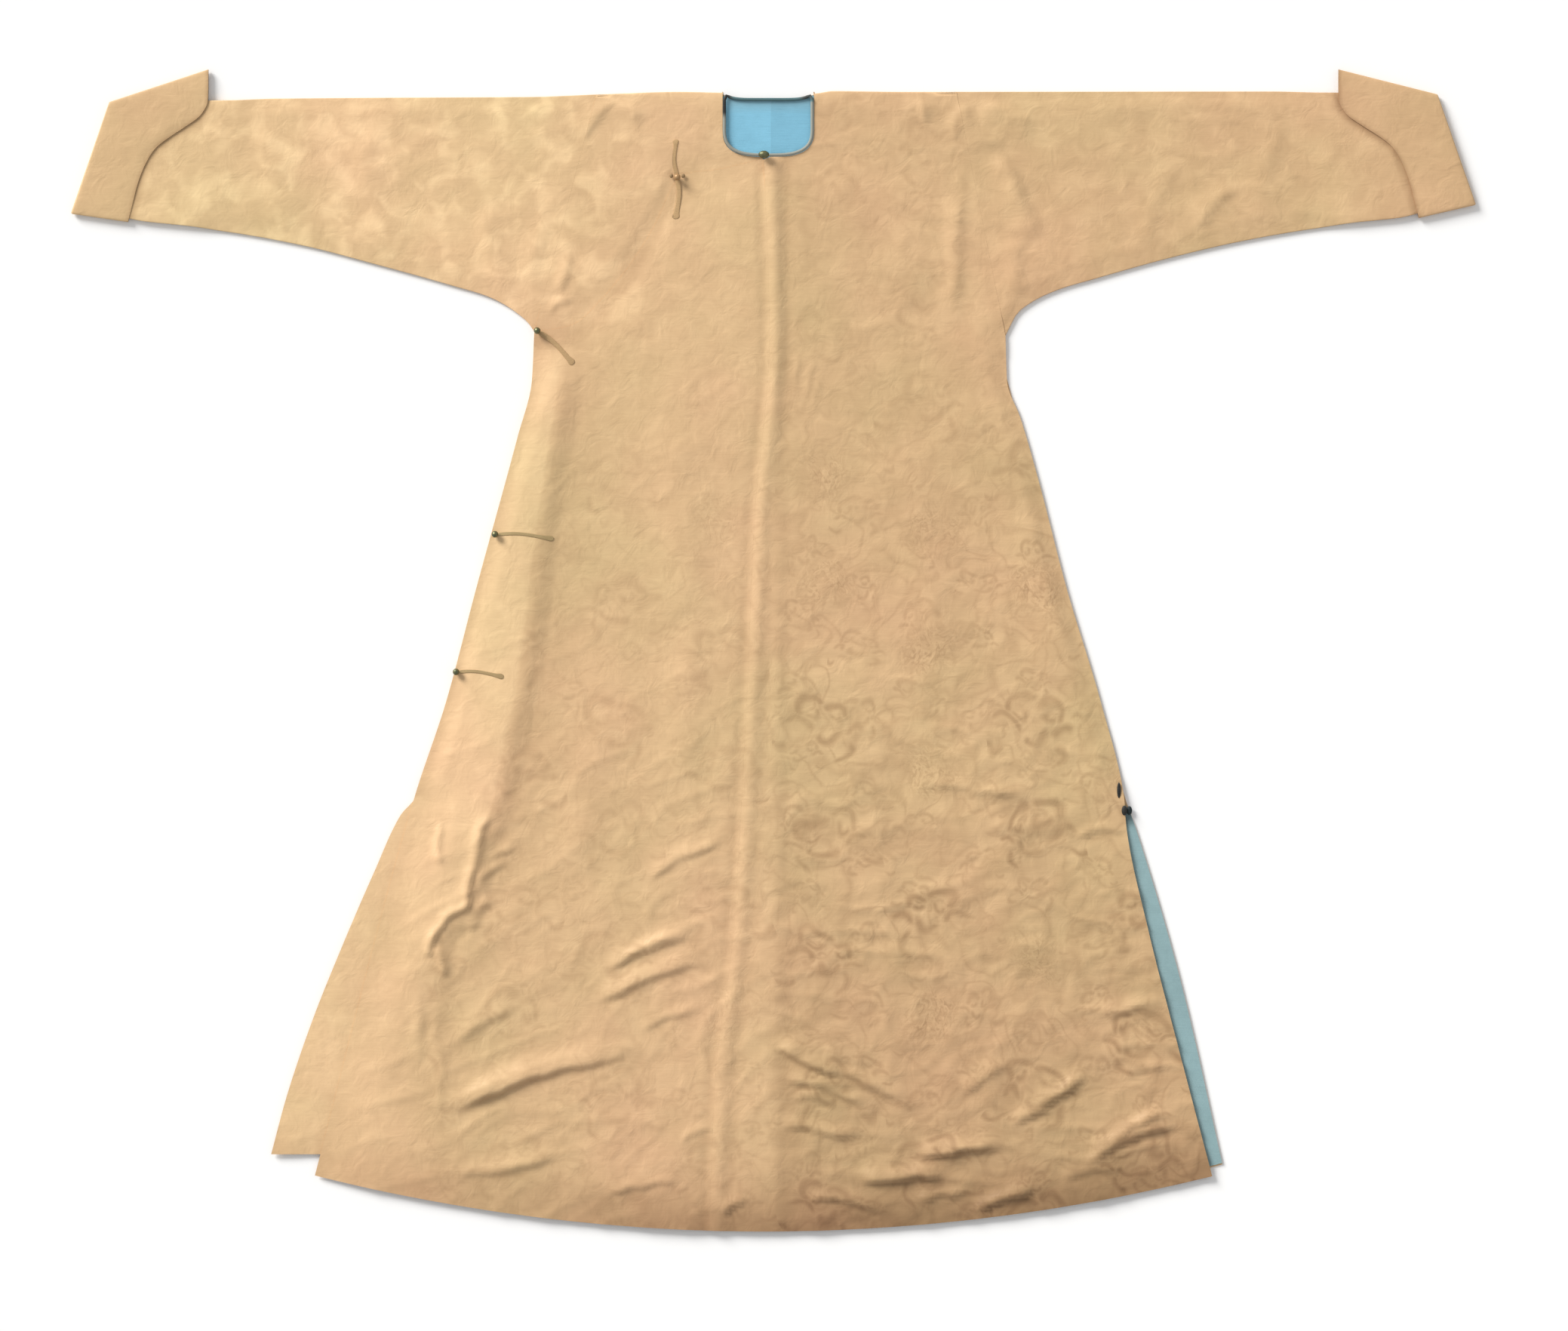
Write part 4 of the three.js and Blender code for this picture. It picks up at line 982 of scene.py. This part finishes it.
def plainSilk(name, baseColour, dullColour, thread=0.0009, bumpHeight=0.0006):
    material, shader, here, tone, dull = newMaterial(
        name, 0.5, ("tone", "dull"), Specular_IOR_Level=0.35, Sheen_Weight=0.1, Sheen_Roughness=0.4)
    stains = useGroup(age, here, Broad=12.0, Fine=60.0)
    threads = useGroup(weave, here, Thread=thread)
    colour = blendColour(dull, (*baseColour, 1), (*dullColour, 1))
    tone = times(tone, scaled(stains["Broad"], 0.1, 0.95))
    light = plus(tone, centred(threads["Shade"], 0.14), centred(stains["Fine"], 0.06))
    grey = addNode("CombineColor", {0: light, 1: light, 2: light}).outputs[0]
    height = plus(threads["Height"], times(stains["Fine"], 1.2))
    joinShader(shader, height, 0.4, bumpHeight, Base_Color=blendColour(1.0, colour, grey, "MULTIPLY"))
    return material


brassLook = {"olive": (0.24, 0.2, 0.09, 1), "dark": (0.09, 0.1, 0.06, 1), "green": (0.13, 0.2, 0.14, 1),
             "brown": (0.4, 0.24, 0.11, 1)}


def oldBrass():
    material, shader, here, brown = newMaterial("oldBrass", 0.4, ("dull",))
    stains = useGroup(age, here, Broad=240.0, Fine=900.0)
    colour = blendColour(stains["Broad"], brassLook["olive"], brassLook["dark"])
    colour = blendColour(times(stains["Fine"], 0.4), colour, brassLook["green"])
    colour = blendColour(brown, colour, brassLook["brown"])
    joinShader(shader, stains["Fine"], 0.3, 0.0003, Base_Color=colour, Metallic=scaled(brown, -0.6, 0.85),
               Roughness=scaled(stains["Fine"], 0.3, 0.28))
    return material


damask = damaskSilk()
blueSilk = plainSilk("blueSilk", (0.235, 0.55, 0.735), (0.265, 0.405, 0.425))
pipingSilk = plainSilk("pipingSilk", (0.25, 0.255, 0.22), (0.1, 0.25, 0.28), 0.0006, 0.0003)
cordSilk = plainSilk("cordSilk", (0.62, 0.4, 0.19), (0.34, 0.26, 0.12), 0.0006, 0.0004)
brass = oldBrass()
print("materials made")


# painted shade: how far the light on the damask falls off down each side, darker towards the hem and on the
# wearer's left, as places along Y and tones
shadeRows = {"right": [(-731, 0.8), (-600, 0.88), (-200, 0.93), (200, 0.935), (500, 0.96), (703, 0.955)],
            "left": [(-731, 0.65), (-560, 0.735), (-300, 0.82), (-50, 0.875), (200, 0.855), (450, 0.875),
                     (600, 0.875), (703, 0.84)]}
shadeDown = {side: smoothCurve(rows) for side, rows in shadeRows.items()}
# the strength of each change of tone, most of them painted highlight and shade, and for those along a line
# also its place beside it and its width
toneLook = {"leftSleeve": 0.835, "rollHighlight": 0.15, "rollShade": 0.06, "beyondRoll": 0.1, "side": 0.1,
            "rightHem": 0.15, "leftHem": 0.42, "hemReach": 84, "underlap": 0.08, "inside": 0.93,
            "seam": [(10, 9, 0.03), (-5, 7, -0.06), (27, 8, -0.04)], "overlapEdge": (-12, 19, -0.12)}
innerFrom = 1.5  # what lies lower than this is the inner side of the cloth or its back


def onSleeves(x, y, start):
    return ease((np.abs(x) - start) / 60) * ease((y - 395) / 30)


def toneAt(x, y, z):
    leftShare = ease((x + 12) / 30)
    tone = mix(shadeDown["right"](y), shadeDown["left"](y), leftShare)
    # painted shade on the sleeves: the wearer's right sleeve is left at full light, the left one darker
    tone = mix(tone, mix(1.0, toneLook["leftSleeve"], leftShare), onSleeves(x, y, 240))
    # the roll by the wearer's right side: painted highlight outside its crest, and painted shade just inside
    out = outline["ridgeLine"](y) - x
    along = ease((400 - y) / 60) * ease((y + 560) / 420)
    tone += along * toneLook["rollHighlight"] * ease(out / 7)
    tone -= along * toneLook["rollShade"] * ease(-out / 7) * ease(1 + out / 100)
    # painted shade along the wearer's right side edge, between the armpit and the vent
    tone -= toneLook["side"] * lineShade(x + outline["underlapSide"](y), 15) * (y < 395) * (y > ventTop)
    # more painted highlight further out beyond the roll, low down
    tone += toneLook["beyondRoll"] * ease((out - 8) / 70) * ease((-360 - y) / 140)
    # painted shade: darker towards the hem, more on the wearer's left
    hemShade = mix(toneLook["rightHem"], toneLook["leftHem"], ease((x + 340) / 280))
    tone *= 1 - hemShade * ease(1 - (y - frontHem(x)) / toneLook["hemReach"]) * (np.abs(x) < 640)
    # painted highlight on the front seam's roll and painted shade in the hollows beside it, and painted
    # shade along the edge from the neck to the armpit
    off = x - outline["centreFront"](y)
    for place, width, strength in toneLook["seam"]:
        tone += (y < 622) * strength * lineShade(off - place, width)
    place, width, strength = toneLook["overlapEdge"]
    onEdge = ease((-90 - x) / 20) * (x > -302) * (y > 380)
    tone += strength * onEdge * lineShade(y - outline["overlapTop"](x) - place, width)
    tone *= 1 - foldShade(x, y)
    # the underlap is lighter where it comes out beside the overlap
    past = ease((-x - outline["overlapEdge"](y)) / 14) * ease((ventTop - y) / 30) * (x < 0)
    return np.where(z > innerFrom, tone + toneLook["underlap"] * past, toneLook["inside"])


def motifAt(x, y):
    skirt = 0.4 + 0.6 * ease((380 - y) / 300)
    leftShare, beyondRoll = ease((x + 60) / 120), ease((outline["ridgeLine"](y) - x) / 12)
    onBody = skirt * mix(0.5, 1, leftShare) * mix(1, 0.25, beyondRoll)
    return mix(onBody, -0.5, onSleeves(x, y, 230))


def flecksAt(x, y):
    onSleeve = ease((np.abs(x) - 100) / 140) * ease((y - 380) / 60)
    return mix(0.22, np.where(x < 0, 1.0, 0.45), onSleeve)


def paintDamask(piece):
    x, y, z = places(piece)
    paint(piece, "tone", toneAt(x, y, z))
    paint(piece, "motif", motifAt(x, y))
    paint(piece, "flecks", flecksAt(x, y))


cuffLook = {"tone": {"right": 0.92, "left": 1.01}, "low": 0.96, "motif": -0.2, "flecks": 0.15,
            "sleeveShadow": (0.38, 6), "edgeLine": (0.28, 3)}


def shadeCuff(side, part, piece):
    # painted shadow on the sleeve where it comes out from under the cuff's free edge, a dark line along that
    # edge on the cuff itself, and a plainer cuff
    x, y, z = places(piece)
    tone = toneAt(x, y, z)
    v = np.linspace(0, 1, 60)
    edgeX, edgeY = outline["cuffEdgeX"](v), outline["cuffEdgeY"](v) - cuff["ends"][side][2] * v
    away = np.hypot(np.abs(x)[:, None] - edgeX, y[:, None] - edgeY).min(1)
    strength, width = cuffLook["sleeveShadow" if part == "Sleeve" else "edgeLine"]
    line = strength * lineShade(away, width)
    if part == "Sleeve":
        paint(piece, "tone", tone - line * (z > innerFrom))
    else:
        plainer = cuffLook["tone"][side] * mix(1, cuffLook["low"], ease((y - 560) / 60))
        paint(piece, "tone", tone * plainer - line)
        paint(piece, "flecks", cuffLook["flecks"] + 0 * x)
        paint(piece, "motif", cuffLook["motif"] + 0 * x)


pieces = {}  # every piece of the robe, by its name


def keepPlain(piece, tone, dull, *settings):
    # paints a plain piece, settles it and keeps it by its name
    for label, values in (("tone", tone), ("dull", dull)):
        paint(piece, label, values + np.zeros(len(piece.data.vertices)))
    settle(piece, *settings)
    pieces[piece.name] = piece


liningTone = {"right": 0.96, "left": 0.86}
for side in ("right", "left"):
    for part, make in (("Length", bodyLength), ("Sleeve", sleeveTube), ("Cuff", horseshoeCuff)):
        piece = pieces[side + part] = make(side)
        paintDamask(piece)
        if part != "Length":
            shadeCuff(side, part, piece)
        settle(piece, [f"{side}_{part.lower()}"], "damask", damask)
    piece = backLining(side)
    x, y, z = places(piece)
    atNeck = ease((y - 400) / 60)
    # painted shadow on the lining at the top of the vent, under the tack
    tackShadow = ease((y + 226) / 5) * ease((-190 - y) / 10)
    tone = mix(1 - 0.5 * tackShadow, liningTone[side], atNeck)
    dull = mix(1.0, 0.55 * ease((y - 677) / 9), atNeck)
    keepPlain(piece, tone, dull, ["lining_" + side], "lining", blueSilk)
    print(side, "half made")

pieces["overlapFront"] = overlap()
paintDamask(pieces["overlapFront"])
settle(pieces["overlapFront"], ["overlap"], "damask", damask)
print("overlap made")

piece = neckBinding()
x, y, z = places(piece)
atBack = ease((y - 689) / 3)
# painted shadow in the corners where the front's edge meets the back of the neck
rightCorner = ease((y - 668) / 10) * ease((-50 - x) / 8)
leftCorner = 0.8 * ease((y - 692) / 3) * ease((x - 30) / 10)
cornerShadow = np.maximum(rightCorner, leftCorner)
tone = mix(mix(1.15, 0.6, atBack), 0.08, cornerShadow)
keepPlain(piece, tone, 0.85 * atBack * (1 - cornerShadow), ["neck_binding"], "piping", pipingSilk)

# how brown each button has grown, and how dull and how light its straps are
wornLook = {"chest": (1.0, 0.0, 0.82), "side": (0.0, 0.0, 0.76), "waist": (0.0, 0.75, 1.0),
            "hip": (0.0, 0.55, 0.85)}
# the two small ears of the chest knot: places beside the ball, and radii
ears = [((-7.4, 2, 1.6), (2.4, 2.8, 1.4)), ((7.4, 2, 1.6), (2.6, 2.8, 1.4))]
for name, row in fastenings.items():
    x, y = row["ball"]
    brown, dull, tone = wornLook[name]
    seat = seatOn(x, y)
    button = ballButton("button" + name.title(), x, y, seat)
    keepPlain(button, 1, brown, ["button_" + name], "buttons", brass)
    for strapName, (end, startHalf, endHalf) in row["straps"].items():
        kind, where = strapName.split("_")
        surface = underLayerZ if kind == "strap" else outerLayerZ
        loop = strapBand(kind + where.title(), (x, y), end, startHalf, endHalf, surface)
        if strapName == "loop_chest":
            addBeads(loop, [((x + right, y + up, seat + high), radii) for (right, up, high), radii in ears])
        onEar = (name == "chest") * ease((np.abs(places(loop)[0] - x) - 5) / 0.3)
        keepPlain(loop, mix(tone, 0.5, onEar), dull, [strapName], "loops", cordSilk)

seatX = float(outline["centreFront"](neck["y"]))
seatY = neck["y"] - neck["below"] + cloth["gap"] + binding["width"] / 2
seat = binding["frontZ"] + binding["height"] + cloth["gap"]
button = ballButton("buttonNeck", seatX, seatY, seat, (1.6, 1.15, 1))
keepPlain(button, 1, 0, ["button_neck"], "buttons", brass)
piece = ventTack()
# painted near black: the tack stands for its thread knots and also for the shadow in the gap at the vent's
# top
keepPlain(piece, 0.07, ease((places(piece)[0] - 444) / 2), ["vent_tack"], "piping", pipingSilk)
print("fastenings made")

# the floor, the light and the camera
stage = {"floor": 9.0, "floorColour": (0.93, 0.93, 0.93, 1), "below": 0.0003, "sunPlace": (-2.65, 2.6, 1.75),
         "sun": 4.1, "sunAngle": 0.45, "sunColour": (1, 0.985, 0.96), "sky": 0.55}
shot = {"centre": (0.0133, -0.019), "width": 1.9741, "height": 8.0, "sensor": 36.0}


def paleFloor():
    bm = bmesh.new()
    bmesh.ops.create_grid(bm, x_segments=2, y_segments=2, size=stage["floor"] / 2)
    bmesh.ops.translate(bm, verts=bm.verts, vec=(0, 0, -stage["below"]))
    floor = finishMesh("floor", bm)
    material, shader, _ = newMaterial("paleFloor", 0.9, Base_Color=stage["floorColour"],
                                      Specular_IOR_Level=0.1)
    # seen from below it is clear, so that the underside shows
    tree = material.node_tree
    clear = tree.nodes.new("ShaderNodeBsdfTransparent")
    behind = tree.nodes.new("ShaderNodeNewGeometry").outputs["Backfacing"]
    both = addNode("MixShader", {0: behind, 1: shader.outputs[0], 2: clear.outputs[0]})
    tree.links.new(both.outputs[0], tree.nodes["Material Output"].inputs["Surface"])
    floor.data.materials.append(material)


def addObject(name, data, place):
    thing = bpy.data.objects.new(name, data)
    thing.location = place
    bpy.context.scene.collection.objects.link(thing)
    return thing


paleFloor()
sun = addObject("key", bpy.data.lights.new("key", "SUN"), stage["sunPlace"])
sun.rotation_euler = (-Vector(stage["sunPlace"])).to_track_quat("-Z", "Y").to_euler()
sun.data.energy = stage["sun"]
sun.data.angle = stage["sunAngle"]
sun.data.color = stage["sunColour"]
world = bpy.data.worlds.new("studio")
world.use_nodes = True
world.node_tree.nodes["Background"].inputs["Color"].default_value = (1, 1, 1, 1)
world.node_tree.nodes["Background"].inputs["Strength"].default_value = stage["sky"]
bpy.context.scene.world = world

camera = addObject("camera", bpy.data.cameras.new("camera"), (*shot["centre"], shot["height"]))
camera.data.sensor_width = shot["sensor"]
camera.data.lens = shot["sensor"] * shot["height"] / shot["width"]
camera.data.clip_end = 100
bpy.context.scene.camera = camera
bpy.context.scene.view_settings.view_transform = "Standard"
print("stage set")
